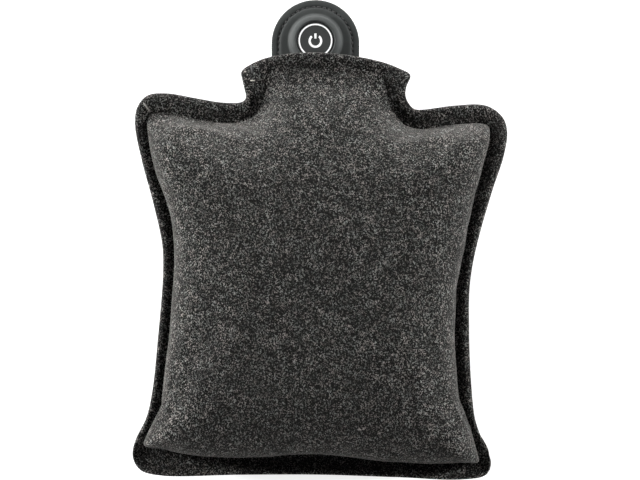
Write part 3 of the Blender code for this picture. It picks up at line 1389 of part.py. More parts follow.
def button():
    """The cap with its stem and flange, and the ring and the symbol let into its face."""
    cap_finish = material("button_cap", (0.050, 0.055, 0.055), 0.5)
    white = material("white_inlay", (0.85, 0.85, 0.85), 0.35)
    level = housing_levels()
    top = level["button_top"]
    axis = bpy.data.objects.new("button_axis", None)
    axis.location = (TAB_X, PUCK_Y, SEAM_HEIGHT)
    bpy.context.scene.collection.objects.link(axis)
    cap = turned(
        "button_cap",
        [(0.0, level["stem_low"]), (STEM_RADIUS, level["stem_low"]), (STEM_RADIUS, level["flange_top"]),
         (RING_OUTER, level["flange_top"]), (RING_OUTER, level["flange_low"]),
         (BUTTON_RADIUS + FLANGE_WIDTH, level["flange_low"]),
         (BUTTON_RADIUS + FLANGE_WIDTH, level["flange_top"]),
         (BUTTON_RADIUS, level["flange_top"]), (BUTTON_RADIUS, top - BUTTON_EDGE_ROUND),
         (BUTTON_RADIUS - BUTTON_EDGE_ROUND, top), (0.0, top)],
        (0.0, 0.0, 0.0),
        ROUND_STEPS,
        cap_finish,
    )
    low = top - INLAY_DEPTH
    groove = turned(
        "button_ring_groove",
        [(RING_INNER - INLAY_GAP, low - INLAY_GAP), (RING_OUTER + INLAY_GAP, low - INLAY_GAP),
         (RING_OUTER + INLAY_GAP, top + OVERRUN), (RING_INNER - INLAY_GAP, top + OVERRUN)],
        (0.0, 0.0, 0.0),
        ROUND_STEPS,
    )
    ring = turned(
        "button_ring",
        [(RING_INNER, low), (RING_OUTER, low), (RING_OUTER, top), (RING_INNER, top)],
        (0.0, 0.0, 0.0),
        ROUND_STEPS,
        white,
    )
    centre = (0.0, -ICON_DROP)
    symbol = arc_outline(ICON_INNER, ICON_OUTER, ICON_GAP_DEGREES, 20, centre)
    arc = prism("power_arc", symbol, low, top, white)
    arc_groove = prism(
        "power_arc_groove",
        arc_outline(ICON_INNER - INLAY_GAP, ICON_OUTER + INLAY_GAP, ICON_GAP_DEGREES - 2, 20, centre),
        low - INLAY_GAP,
        top + OVERRUN,
    )
    half = ICON_BAR_WIDTH / 2
    bar = block("power_bar", (-half, ICON_BAR_LOW, low), (half, ICON_BAR_HIGH, top), white)
    bar_groove = block(
        "power_bar_groove",
        (-half - INLAY_GAP, ICON_BAR_LOW - INLAY_GAP, low - INLAY_GAP),
        (half + INLAY_GAP, ICON_BAR_HIGH + INLAY_GAP, top + OVERRUN),
    )
    for tool in (groove, arc_groove, bar_groove):
        boolean(cap, tool)
    for item in (cap, ring, arc, bar, groove, arc_groove, bar_groove):
        item.parent = axis
    smooth(cap)
    smooth(ring)


def ribbon_and_connector():
    """The flat cable from the control board, and the plug and socket that join it to the battery lead."""
    plastic = material("connector", (0.75, 0.74, 0.70), 0.5)
    film = material("ribbon", (0.55, 0.28, 0.06), 0.4)
    level = housing_levels()
    thick = RIBBON_THICK / 2
    inside = (level["floor_top"] + level["board_low"]) / 2
    plug_y = CONNECTOR_Y + CONNECTOR_LENGTH
    wall_y = PUCK_Y - HOUSING_RADIUS + HOUSING_WALL
    rise_y = wall_y + RIBBON_ENTRY - FIT
    start = plug_y + CONNECTOR_LENGTH + FIT
    route = [(start, 0.0), (wall_y, 0.0), (rise_y - FIT, inside), (rise_y + RIBBON_ENTRY, inside)]
    upper = [(y, SEAM_HEIGHT + z + thick) for y, z in route]
    lower = [(y, SEAM_HEIGHT + z - thick) for y, z in reversed(route)]
    prism(
        "tab_ribbon", lower + upper, TAB_X - RIBBON_WIDTH / 2, TAB_X + RIBBON_WIDTH / 2, film, "YZ"
    )
    half = CONNECTOR_WIDTH / 2
    tall = CONNECTOR_HEIGHT / 2
    for name, low in (("lead_socket", CONNECTOR_Y), ("ribbon_plug", plug_y + FIT)):
        length = CONNECTOR_LENGTH - FIT
        block(
            name,
            (TAB_X - half, low, SEAM_HEIGHT - tall),
            (TAB_X + half, low + length, SEAM_HEIGHT + tall),
            plastic,
            FIT,
        )


def build():
    clear_scene()
    form = Form()
    cover_front(form)
    cover_back(form)
    zip_tapes()
    zip_stops()
    pin_x, pin_z = zip_slider()
    zip_pull(pin_x, pin_z)
    stacks = {1: inner_stack(form, 1, FRONT_LINING_RINGS), -1: inner_stack(form, -1, BACK_LINING_RINGS)}
    lining(stacks)
    sheet = heating_layer(form)
    on_sheet = heating_wire(sheet)
    terminal_y, terminal_z = terminal(on_sheet)
    cutters, lead_hole = filling_cutters(terminal_y)
    filling(stacks, cutters)
    boolean(sheet, lead_hole)
    battery_case()
    board_y = cells()
    protection_board(board_y)
    leads(terminal_y, terminal_z)
    tab_leathers()
    tab_core()
    switch_housing()
    control_board()
    button()
    ribbon_and_connector()


build()
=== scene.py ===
import math
from contextlib import contextmanager

import bmesh
import bpy
import numpy as np
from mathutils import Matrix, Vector, noise
from mathutils.bvhtree import BVHTree
from mathutils.geometry import delaunay_2d_cdt


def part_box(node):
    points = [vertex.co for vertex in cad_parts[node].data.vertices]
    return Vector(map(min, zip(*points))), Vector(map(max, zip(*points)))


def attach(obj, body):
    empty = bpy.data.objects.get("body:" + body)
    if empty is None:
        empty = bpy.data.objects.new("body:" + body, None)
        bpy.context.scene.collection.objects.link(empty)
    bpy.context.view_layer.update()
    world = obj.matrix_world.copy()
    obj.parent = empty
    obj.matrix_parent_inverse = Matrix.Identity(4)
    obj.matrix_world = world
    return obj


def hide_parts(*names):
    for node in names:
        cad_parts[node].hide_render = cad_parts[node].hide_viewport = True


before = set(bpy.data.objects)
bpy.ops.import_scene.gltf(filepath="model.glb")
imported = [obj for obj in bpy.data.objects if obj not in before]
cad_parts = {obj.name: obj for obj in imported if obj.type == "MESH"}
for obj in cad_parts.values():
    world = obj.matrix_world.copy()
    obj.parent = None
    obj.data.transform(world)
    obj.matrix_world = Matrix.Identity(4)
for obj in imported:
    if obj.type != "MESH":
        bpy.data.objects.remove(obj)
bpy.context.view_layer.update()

# Cover, with the outline listed in thousandths of its width, from the middle, and length, from the bottom
COVER_WIDTH = 0.262
COVER_LENGTH = 0.298
OUTLINE = (
    (0, 11), (214, 5), (380, 0), (444, 11), (457, 38), (436, 85), (414.5, 139), (404, 221), (398, 351),
    (400, 456), (415.5, 539), (459, 675), (491.5, 762), (500, 819), (486.5, 852), (444, 878), (361, 878),
    (273, 868), (251, 869.5), (234.5, 886), (227.5, 904), (232.5, 929), (243.5, 951), (216, 963.5), (160, 980),
    (53, 996), (-53, 999), (-144, 988), (-195, 970), (-207, 962.5), (-212, 957.5), (-209.5, 948), (-202, 920),
    (-196.5, 895.5), (-206, 886.5), (-262, 885), (-337, 896), (-412, 907), (-462, 902), (-487, 876),
    (-494, 835), (-476, 751), (-444, 645), (-421, 551), (-419, 480), (-433, 327), (-447, 209), (-463, 146),
    (-495.5, 85), (-500, 54), (-481, 22), (-428, 9), (-214, 11),
)

# Front crease between hem and body, in the same way
CREASE = (
    (0, 59), (-80, 58), (-142, 53), (-227, 52), (-307, 54), (-356, 59), (-385, 64), (-417, 71), (-452, 75),
    (-469, 78), (-474, 84), (-472, 92), (-463, 105), (-452, 121), (-439, 142), (-427, 162), (-422, 186),
    (-419, 221), (-412, 275), (-402, 343), (-396, 426), (-390, 503), (-391, 550), (-397, 605), (-408, 645),
    (-418, 670), (-435, 710), (-444, 735), (-452, 763), (-459, 795), (-464, 819), (-466, 842), (-462, 857),
    (-445, 862), (-418, 861), (-385, 858), (-345, 850), (-305, 843), (-263, 839), (-225, 840), (-195, 846),
    (-174, 861), (-159, 879), (-148, 901), (-145, 925), (-146, 943), (-138, 954), (-115, 961), (-67, 965),
    (0, 967), (67, 965), (123, 960), (158, 953), (172, 942), (176, 925), (180, 901), (188, 877), (206, 856),
    (227, 835), (254, 826), (281, 824), (313, 828), (345, 833), (377, 836), (418, 838), (441, 837), (454, 832),
    (457, 812), (453, 788), (445, 765), (435, 735), (427, 705), (415, 673), (404, 621), (396, 595), (388, 550),
    (380, 518), (374, 486), (365, 452), (363, 398), (360, 327), (365, 256), (368, 221), (373, 186), (383, 167),
    (392, 144), (402, 120), (409, 96), (414, 75), (424, 56), (430, 44), (422, 37), (401, 39), (361, 39),
    (310, 38), (249, 39), (187, 42), (120, 48), (59, 55),
)
CREASE_INSET = 0.0009
OUTLINE_FUZZ = 0.0004
NECK_HALF_SHARE = 0.225
NECK_ROOT_SHARE = 0.80
NECK_TIP_SHARE = 0.93
NECK_HEM_SHARE = 0.28125
SHOULDER_SHARES = (0.775, 0.845)
BOTTOM_SHARES = (0.06, 0.12)
SHOULDER_SOFTNESS = 0.85
SOFT_WALL_SHARE = 0.55
BODY_CENTRE_SHARE = 0.62
BODY_MIDDLE_SHARE = 0.44
CROWN_SHARE = 0.22
FRONT_TAPER_SHARES = (0.72, 0.74, 0.95)
BACK_TAPER_SHARES = (0.5, 0.72, 0.97)
WALL_POWER = 2.4
FRONT_RISE = 0.042
BACK_SWELL = 0.035
SHOULDER = 0.045
HEM_SIDE = 0.0078
HEM_END = 0.0130
HEM_THICK = 0.0038
HEM_EDGE = 0.0005
HEM_POWER = 2.1
HEM_LEAN = 0.68
BOTTOM_HEM_LEAN = 0.25
HEM_SLOPE = 0.5
CREASE_HEIGHT = 0.0004
MOUTH_EDGE = 0.0018
MOUTH_CREASE_HEIGHT = 0.0012
WALL_BULGE = 0.0012
BULGE_POWER = 0.7
PUCKER_SCALE = 55.0
PUCKER_DEPTH = 0.45
VALLEY_WIDTH = 0.0065
FELT_THICK = 0.0032
PLY_CLEARANCE = 0.00015
MOUTH_RISE = 0.0088
MOUTH_DROP = 0.0095

# How finely the felt is laid out before its one subdivision, how its rings are softened, and its low waves
RAY_COUNT = 400
SPLINE_STEPS = 16
CREASE_STEPS = 6
HEM_RING_COUNT = 9
WALL_RING_COUNT = 13
FRONT_FIELD_SHARE = 0.40
BACK_FIELD_SHARE = 0.27
FIELD_SPACING = 0.0034
EVEN_PASSES = 12
CLEAR_SHARE = 0.62
REACH_SHARE = 0.45
REACH_STEPS = 200
HEM_SOFTENING = 8
CREASE_SOFTENING = 10
RING_SOFTENING = 60
HELD_RINGS = 4
WAVE_HEIGHT = 0.0009
WAVES = ((17.0, 1.0), (41.0, 0.45), (110.0, 0.2))
SAME_PLACE = 2e-6

# The filling's pressure on the felt
PRESSURE = 4.0
PRESSURE_FRAMES = 20
CLOTH_STIFFNESS = 25.0
BENDING_STIFFNESS = 2.0
MOST_SWELL = 0.005

# Slot for the zip in the back, and the stitching round it
SLOT_HALF_WIDTH = 0.0055
TAPE_END = 0.003
SLOT_STITCH_MARGIN = 0.0042
SEAM_GROOVE = 0.0009
SLOT_STITCH_PITCH = 0.0046
SLOT_STITCH_LENGTH = 0.0035
SLOT_THREAD_RADIUS = 0.00042
SLOT_THREAD_SHARE = 0.45
SLOT_LIP = 0.0016
GROOVE_HALF_WIDTH = 0.0011
SEAM_HALF_WIDTH = 0.0014
SEAM_CORE_HALF_WIDTH = 0.0004

# Form of every stitch: its rings along it, the thread's sides, and how its ends narrow and sink
STITCH_SHARES = (0.0, 0.08, 0.22, 0.36, 0.5, 0.64, 0.78, 0.92, 1.0)
THREAD_SIDES = 8
END_WIDTH = 0.25
END_SINK = 2.2

# Switch tab
TAB_TAIL_Y = 0.092
LEATHER = 0.0011
TAB_GROOVE = 0.0043
BUMP_STEPS = 96
TAB_SPACING = 0.0013
STITCH_PITCH = 0.0038
STITCH_LENGTH = 0.0033
THREAD_RADIUS = 0.00062
STITCH_LIFT = 0.0002
STITCH_WIDENING = 1.25
BUMP_LEATHER = 0.0006
TAB_CORE = 0.0006
BUMP_FOOT = 0.0178
TAB_EDGE_FUZZ = 0.0007

# Heights of the tab's leather over its flat, by how far in from the edge, and of its bump, by radius
TAB_HEIGHTS = (
    (0.0, -0.0003), (0.0006, 0.0), (0.0018, 0.0), (0.0034, 0.0), (0.0039, -0.0006), (0.0043, -0.0009),
    (0.0047, -0.0006), (0.0052, 0.0), (0.0068, 0.0002), (0.0095, 0.0002),
)
BUMP_HEIGHTS = (
    (0.0197, 0.0002), (0.0192, 0.0003), (0.0187, 0.0006), (0.0182, 0.0010), (0.0178, 0.0016), (0.0175, 0.0023),
    (0.0172, 0.0030), (0.0169, 0.0036), (0.0165, 0.0041), (0.0160, 0.0045), (0.0154, 0.0048), (0.0148, 0.0051),
    (0.0142, 0.0053), (0.0138, 0.0052), (0.0134, 0.0048), (0.0131, 0.0043),
)

# Inner cushion: the waves' scale and height, the filling's form, and how far each layer keeps under the felt
LINING_WAVES = (45.0, 0.0004)
LAYER_WAVES = (60.0, 0.00025)
FILLING_VOXEL = 0.0035
FILLING_SHRINK = 0.0004
TUFT_SCALE = 90.0
TUFT_DEPTH = 0.0003
LINING_GAP = 0.0004
LAYER_GAP = 0.0016
FILLING_GAP = 0.0024

# Photograph: the real width that its frame spans at the height of the seam
FRAME_WIDTH = 0.4483
CAMERA_DISTANCE = 1.7
SENSOR_WIDTH_MM = 36.0
FLOOR_GLOW = 0.74
FILL_LIGHT = 0.05
LAMP_AIM = Vector((0.0, 0.0, 0.03))

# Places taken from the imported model
tab_low, tab_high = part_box("tab_leather_front")
back_low, back_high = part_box("tab_leather_back")
SEAM_Z = (tab_low.z + back_high.z) / 2
BOTTOM_Y = -tab_high.y
TAB_X = (tab_low.x + tab_high.x) / 2
TAB_RADIUS = (tab_high.x - tab_low.x) / 2
TAB_ARC_Y = tab_high.y - TAB_RADIUS
TAB_BACK_Z = back_low.z
LEATHER_TOP = SEAM_Z + (SEAM_Z - TAB_BACK_Z)
button_low, button_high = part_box("button_cap")
PUCK = ((button_low.x + button_high.x) / 2, (button_low.y + button_high.y) / 2)
upper_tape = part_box("zip_tape_upper")
lower_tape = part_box("zip_tape_lower")
ZIP_Y = (upper_tape[0].y + lower_tape[1].y) / 2
SLOT_HALF_LENGTH = upper_tape[1].x - TAPE_END


# Shader nodes

class Nodes:
    """A node tree, with a short call for each node."""

    def __init__(self, tree):
        self.tree = tree

    def join(self, value, socket):
        if isinstance(value, bpy.types.NodeSocket):
            self.tree.links.new(value, socket)
        else:
            socket.default_value = value

    def node(self, kind, output, inputs, **settings):
        """The output of a new node whose settings are made and whose inputs are set or joined."""
        node = self.tree.nodes.new("ShaderNode" + kind)
        for name, value in settings.items():
            setattr(node, name, value)
        for name, value in inputs.items():
            self.join(value, node.inputs[name])
        return node.outputs[output]

    def maths(self, operation, *values):
        return self.node("Math", "Value", dict(enumerate(values)), operation=operation)


class Shader(Nodes):
    """A material's nodes, whose textures lie on the object's own coordinates."""

    def __init__(self, name):
        self.material = bpy.data.materials.new(name)
        self.material.use_nodes = True
        super().__init__(self.material.node_tree)
        self.surface = self.tree.nodes["Principled BSDF"]
        self.place = self.node("TexCoord", "Object", {})

    def stretched(self, scale, turn=(0.0, 0.0, 0.0)):
        """The place on the object, turned and then stretched, so that a texture's grain lies along the turn."""
        inputs = {"Vector": self.place, "Rotation": turn, "Scale": scale}
        return self.node("Mapping", "Vector", inputs, vector_type="TEXTURE")

    def noise(self, scale, detail=2.0, rough=0.5, vector=None, distortion=0.0):
        return self.node("TexNoise", "Fac", {
            "Vector": vector or self.place, "Scale": scale, "Detail": detail, "Roughness": rough,
            "Distortion": distortion,
        })

    def cells(self, scale):
        return self.node("TexVoronoi", "Distance", {"Vector": self.place, "Scale": scale})

    def bands(self, pitch, direction, vector=None, distortion=0.0):
        """Smooth stripes a pitch apart."""
        inputs = {"Vector": vector or self.place, "Scale": math.pi / 10 / pitch, "Distortion": distortion}
        return self.node("TexWave", "Fac", inputs, bands_direction=direction)

    def between(self, value, low, high, to_low=0.0, to_high=1.0):
        """The value carried smoothly from one span to another."""
        return self.node("MapRange", "Result", {
            "Value": value, "From Min": low, "From Max": high, "To Min": to_low, "To Max": to_high,
        }, interpolation_type="SMOOTHSTEP")

    def blend(self, share, *colours):
        """A colour between two others."""
        first, second = (c if isinstance(c, bpy.types.NodeSocket) else (*c, 1.0) for c in colours)
        return self.node("Mix", "Result", {"Factor": share, "A": first, "B": second}, data_type="RGBA")

    def ridge(self, height, distance, strength):
        """Relief from a height that runs from 0 to 1."""
        normal = self.surface.inputs["Normal"]
        inputs = {"Height": height, "Distance": distance, "Strength": strength}
        if normal.is_linked:
            inputs["Normal"] = normal.links[0].from_socket
        self.join(self.node("Bump", "Normal", inputs), normal)

    def shaded(self, share, colour, dark, light, **values):
        """The finished material, between a darker and a lighter form of a colour."""
        low, high = (tuple(min(value * scale, 1.0) for value in colour) for scale in (dark, light))
        return self.set(Base_Color=self.blend(share, low, high), **values)

    def set(self, **values):
        for name, value in values.items():
            socket = self.surface.inputs[name.replace("_", " ")]
            if isinstance(value, tuple) and len(value) == 3:
                value = (*value, 1.0)
            self.join(value, socket)
        return self.material


def felt_material():
    """Melange wool felt: a near-black ground with sharp pale fibres that lie every way."""
    shader = Shader("felt")
    ground = shader.noise(1300.0, 3.0, 0.7)
    clumps = shader.noise(140.0, 2.0, 0.6)
    tint = shader.noise(230.0, 1.0, 0.5)
    fibres = None
    for turn in ((0.3, 0.2, 0.4), (0.5, -0.4, 1.5), (-0.4, 0.3, 2.6), (1.2, 0.2, 0.9)):
        vector = shader.stretched((1.0, 2.4, 1.2), turn)
        streak = shader.between(shader.noise(1250.0, 1.0, 0.5, vector, 0.5), 0.635, 0.70)
        fibres = streak if fibres is None else shader.maths("MAXIMUM", fibres, streak)
    fibres = shader.maths("MULTIPLY", fibres, shader.between(clumps, 0.3, 0.7, 0.40, 1.0))
    dark = shader.blend(shader.between(ground, 0.35, 0.7), (0.0025, 0.0025, 0.0025), (0.0115, 0.0113, 0.0110))
    pale = shader.blend(shader.between(tint, 0.42, 0.58), (0.34, 0.315, 0.296), (0.292, 0.300, 0.285))
    shader.ridge(fibres, 0.0005, 0.8)
    shader.ridge(ground, 0.0006, 0.8)
    return shader.set(
        Base_Color=shader.blend(fibres, dark, pale), Roughness=0.92, Sheen_Weight=0.20, Sheen_Roughness=0.42,
        Sheen_Tint=(0.80, 0.77, 0.73), Specular_IOR_Level=0.04,
    )


def leather_material(name, colour, roughness):
    """Fine-grained leather: small cells with creases between them, and gloss worn into the high spots."""
    shader = Shader(name)
    wear = shader.noise(150.0, 4.0, 0.6)
    shader.ridge(shader.cells(1700.0), 0.00010, 0.35)
    shader.ridge(shader.noise(4200.0, 2.0), 0.00005, 0.25)
    return shader.shaded(
        shader.between(wear, 0.3, 0.7), colour, 0.84, 1.16, Sheen_Weight=0.06, Sheen_Roughness=0.5,
        Roughness=shader.between(wear, 0.3, 0.7, roughness - 0.06, roughness + 0.06), Specular_IOR_Level=0.25,
    )


def plastic_material(name, colour, roughness, grain=2600.0, depth=0.00003, glow=0.0):
    """Moulded finish: a fine grain, and a little wear in its gloss, with a painted glow when glow is given."""
    shader = Shader(name)
    mottle = shader.noise(grain / 18, 3.0, 0.6)
    shader.ridge(shader.noise(grain, 2.0), depth, 0.4)
    # Painted glow: the part gives off light of its own colour though it is no lamp.
    if glow:
        shader.set(Emission_Color=colour, Emission_Strength=glow)
    return shader.shaded(
        shader.between(mottle, 0.3, 0.7), colour, 0.90, 1.10, Specular_IOR_Level=0.3,
        Roughness=shader.between(mottle, 0.3, 0.7, roughness - 0.07, roughness + 0.07),
    )


def brushed_material(name, colour, roughness):
    """Rolled or brushed metal: long fine scratches and dull patches."""
    shader = Shader(name)
    scratches = shader.noise(3200.0, 2.0, 0.6, shader.stretched((20.0, 1.0, 1.0)))
    patches = shader.noise(420.0, 3.0, 0.6)
    shader.ridge(scratches, 0.00002, 0.3)
    return shader.shaded(
        shader.between(scratches, 0.3, 0.7), colour, 0.80, 1.15, Metallic=1.0,
        Roughness=shader.between(patches, 0.3, 0.7, roughness - 0.08, roughness + 0.12),
    )


def woven_material(name, colour, pitch):
    """Plain weave: warp and weft threads a pitch apart."""
    shader = Shader(name)
    threads = shader.maths("MAXIMUM", shader.bands(pitch, "X"), shader.bands(pitch, "Y"))
    slub = shader.noise(0.12 / pitch, 3.0, 0.6)
    shade = shader.maths("MULTIPLY", shader.between(threads, 0.1, 0.9), shader.between(slub, 0.2, 0.8, 0.6, 1.0))
    shader.ridge(threads, pitch / 3, 0.6)
    return shader.shaded(shade, colour, 0.65, 1.3, Roughness=0.85, Sheen_Weight=0.1)


def thread_material(name, colour):
    """Twisted sewing thread: slanting plies."""
    shader = Shader(name)
    plies = shader.bands(0.0003, "DIAGONAL", distortion=0.6)
    shader.ridge(plies, 0.00008, 0.6)
    return shader.shaded(plies, colour, 0.6, 1.5, Roughness=0.62, Sheen_Weight=0.1)


def wadding_material(name, colour, pitch):
    """Open fibre wadding: soft tufts, with painted shade in the hollows between them."""
    shader = Shader(name)
    tufts = shader.noise(1 / pitch, 4.0, 0.7, distortion=0.8)
    shader.ridge(tufts, pitch / 3, 0.8)
    # The tufts' low places, the hollows, are painted darker: painted shade.
    return shader.shaded(shader.between(tufts, 0.35, 0.65), colour, 0.6, 1.0, Roughness=0.95, Sheen_Weight=0.2)


def tape_material():
    """Zip tape: a fine twill on the tape, and smooth moulded teeth along its edge."""
    shader = Shader("zip_tape")
    up = shader.node("SeparateXYZ", "Y", {"Vector": shader.place})
    across = shader.maths("ABSOLUTE", shader.maths("SUBTRACT", up, ZIP_Y))
    cloth = shader.between(across, 0.0027, 0.0029)
    twill = shader.bands(0.00055, "DIAGONAL")
    slub = shader.noise(700.0, 3.0, 0.6)
    woven = shader.blend(shader.between(twill, 0.2, 0.8), (0.010, 0.010, 0.0105), (0.034, 0.034, 0.035))
    moulded = shader.blend(slub, (0.020, 0.020, 0.021), (0.032, 0.032, 0.033))
    shader.ridge(shader.maths("MULTIPLY", twill, cloth), 0.00012, 0.7)
    return shader.set(
        Base_Color=shader.blend(cloth, moulded, woven), Roughness=shader.between(across, 0.0027, 0.0029, 0.38, 0.88)
    )


def board_material():
    """Circuit board: solder mask over copper tracks, with bare pads."""
    shader = Shader("circuit_board")
    tracks = shader.bands(0.0009, "X", distortion=2.5)
    pads = shader.between(shader.cells(420.0), 0.16, 0.20, 1.0, 0.0)
    mask = shader.blend(shader.between(tracks, 0.55, 0.7), (0.010, 0.075, 0.035), (0.020, 0.13, 0.055))
    shader.ridge(shader.between(tracks, 0.5, 0.7), 0.00005, 0.5)
    return shader.set(
        Base_Color=shader.blend(pads, mask, (0.55, 0.47, 0.30)),
        Roughness=shader.between(shader.noise(900.0, 2.0), 0.3, 0.7, 0.28, 0.42),
        Metallic=pads,
    )


def ribbon_material():
    """Flat cable: amber film over a row of copper tracks."""
    shader = Shader("ribbon")
    tracks = shader.between(shader.bands(0.0010, "X"), 0.45, 0.6)
    film = shader.noise(500.0, 3.0, 0.6)
    shader.ridge(tracks, 0.00004, 0.5)
    return shader.set(
        Base_Color=shader.blend(tracks, (0.50, 0.22, 0.035), (0.62, 0.33, 0.10)),
        Roughness=shader.between(film, 0.3, 0.7, 0.22, 0.38),
    )


def braid_material(name, colour):
    """Braided sleeve: crossing slanting strands."""
    shader = Shader(name)
    one = shader.bands(0.0006, "DIAGONAL")
    other = shader.bands(0.0006, "DIAGONAL", shader.stretched((-1.0, 1.0, 1.0)))
    strands = shader.maths("MAXIMUM", one, other)
    shader.ridge(strands, 0.00012, 0.7)
    return shader.shaded(shader.between(strands, 0.2, 0.9), colour, 0.55, 1.3, Roughness=0.55)


FELT = felt_material()
LEATHER_FINISH = leather_material("tab_leather", (0.025, 0.0280, 0.0272), 0.68)
BACK_LEATHER_FINISH = leather_material("tab_leather_back", (0.046, 0.050, 0.049), 0.64)
THREAD = thread_material("tab_thread", (0.005, 0.005, 0.005))
FELT_THREAD = thread_material("felt_thread", (0.008, 0.008, 0.008))
PALE_THREAD = thread_material("tack_thread", (0.34, 0.32, 0.28))
# Pale colour for the line on the mitre fold: a painted highlight, not the felt's own colour.
MITRE_FOLD_HIGHLIGHT = thread_material("mitre_fold_painted_highlight", (0.19, 0.18, 0.165))
LINING = woven_material("lining", (0.30, 0.29, 0.28), 0.0007)
FILLING = wadding_material("filling", (0.80, 0.78, 0.72), 0.004)
HEATING_FELT = wadding_material("heating_layer", (0.62, 0.60, 0.57), 0.0012)


# Mesh helpers

@contextmanager
def edited(item):
    """An object's mesh opened for edits, and written back after them."""
    shell = bmesh.new()
    shell.from_mesh(item.data)
    yield shell
    shell.to_mesh(item.data)
    shell.free()


def new_object(name, data):
    item = bpy.data.objects.new(name, data)
    bpy.context.scene.collection.objects.link(item)
    return item


def mesh_object(name, points, faces, finish):
    mesh = bpy.data.meshes.new(name)
    mesh.from_pydata([tuple(map(float, point)) for point in points], [], faces)
    item = new_object(name, mesh)
    mesh.materials.append(finish)
    with edited(item) as shell:
        bmesh.ops.recalc_face_normals(shell, faces=shell.faces)
    mesh.shade_smooth()
    return item


def applied(item):
    """The object with its modifiers made part of its mesh."""
    evaluated = item.evaluated_get(bpy.context.evaluated_depsgraph_get())
    mesh = bpy.data.meshes.new_from_object(evaluated)
    item.modifiers.clear()
    old = item.data
    item.data = mesh
    bpy.data.meshes.remove(old)
    mesh.shade_smooth()
    return item


def subdivided(item):
    step = item.modifiers.new("subdivision", "SUBSURF")
    step.levels = step.render_levels = 1
    return applied(item)


def inside(points, loop):
    """Which points lie inside a closed loop."""
    x = points[:, 0][:, None]
    y = points[:, 1][:, None]
    ax, ay = loop[:, 0][None], loop[:, 1][None]
    bx, by = np.roll(loop[:, 0], -1)[None], np.roll(loop[:, 1], -1)[None]
    spans = (ay > y) != (by > y)
    crossing = (bx - ax) * (y - ay) / np.where(by == ay, 1.0, by - ay) + ax
    return ((spans & (x < crossing)).sum(axis=1) % 2).astype(bool)


def between_loops(points, boundary, holes):
    """Which points lie inside the boundary and outside its holes."""
    keep = inside(points, boundary)
    for hole in holes:
        keep &= ~inside(points, hole)
    return keep


def field(boundary, guides, holes, spacing):
    """Triangles that fill a boundary: its own points, those of the guide loops, and an even field between."""
    loops = [boundary, *guides, *holes]
    low, high = boundary.min(axis=0), boundary.max(axis=0)
    rows = np.arange(low[1], high[1], spacing * math.sqrt(3) / 2)
    grid = []
    for k, y in enumerate(rows):
        xs = np.arange(low[0] + (k % 2) * spacing / 2, high[0], spacing)
        grid.append(np.column_stack([xs, np.full(len(xs), y)]))
    grid = np.concatenate(grid)
    grid = grid[between_loops(grid, boundary, holes)]
    for loop in loops:
        away = np.linalg.norm(grid[:, None] - loop[None], axis=2).min(axis=1)
        grid = grid[away > CLEAR_SHARE * spacing]
    points = np.concatenate([*loops, grid])
    edges = []
    start = 0
    for loop in loops:
        count = len(loop)
        edges += [(start + i, start + (i + 1) % count) for i in range(count)]
        start += count
    plan, _, faces, _, _, _ = delaunay_2d_cdt([Vector(point) for point in points], edges, [], 0, 1e-7)
    plan = np.array([tuple(point) for point in plan])
    faces = np.array([tuple(face) for face in faces])
    return plan, faces[between_loops(plan[faces].mean(axis=1), boundary, holes)]


def neighbour_mean(values, edges, count):
    total = np.zeros(values.shape)
    number = np.zeros(count)
    for a, b in ((0, 1), (1, 0)):
        np.add.at(total, edges[:, a], values[edges[:, b]])
        np.add.at(number, edges[:, a], 1)
    return (total.T / number).T


def read(items, name, width, kind=float):
    """One value of each of a mesh's items, as rows."""
    flat = np.empty(len(items) * width, dtype=kind)
    items.foreach_get(name, flat)
    return flat.reshape(-1, width)


def places(item):
    return read(item.data.vertices, "co", 3)


def edge_pairs(item):
    return read(item.data.edges, "vertices", 2, np.int32)


def move_to(item, points):
    item.data.vertices.foreach_set("co", points.ravel())
    item.data.update()


def outward_normals(item, side):
    """The normals of an open skin, towards the side that it faces."""
    normals = read(item.data.vertices, "normal", 3)
    return normals if (normals[:, 2] * side).sum() > 0 else -normals


def ring_faces(rings, count, start=0):
    """Four-sided faces between rings of the same number of points."""
    faces = []
    for k in range(rings - 1):
        a = start + k * count
        for i in range(count):
            j = (i + 1) % count
            faces.append((a + i, a + j, a + count + j, a + count + i))
    return faces


def closed_shell(item, name, inner, finish):
    """An open skin joined to an inner face of the same faces as one solid, one subdivision finer."""
    outer = places(item)
    count = len(outer)
    faces = [tuple(face.vertices) for face in item.data.polygons]
    border = {}
    for face in faces:
        for a, b in zip(face, face[1:] + face[:1]):
            border[(a, b)] = (b, a) not in border
            if (b, a) in border:
                border[(b, a)] = False
    rim = [(a, b, count + b, count + a) for (a, b), alone in border.items() if alone]
    under = [tuple(count + index for index in reversed(face)) for face in faces]
    bpy.data.objects.remove(item, do_unlink=True)
    return subdivided(mesh_object(name, np.concatenate([outer, inner]), faces + under + rim, finish))


def on_cushion(item, slot, *nodes):
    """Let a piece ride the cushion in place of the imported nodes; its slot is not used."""
    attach(item, "cushion")
    if nodes:
        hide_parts(*nodes)
    return item


# The cushion's form

def along(share):
    return BOTTOM_Y + share * COVER_LENGTH


def ease(value, low, high):
    t = np.clip((value - low) / (high - low), 0.0, 1.0)
    return t * t * (3 - 2 * t)


def soften(values, passes):
    for _ in range(passes):
        values = (np.roll(values, 1) + 2 * values + np.roll(values, -1)) / 4
    return values


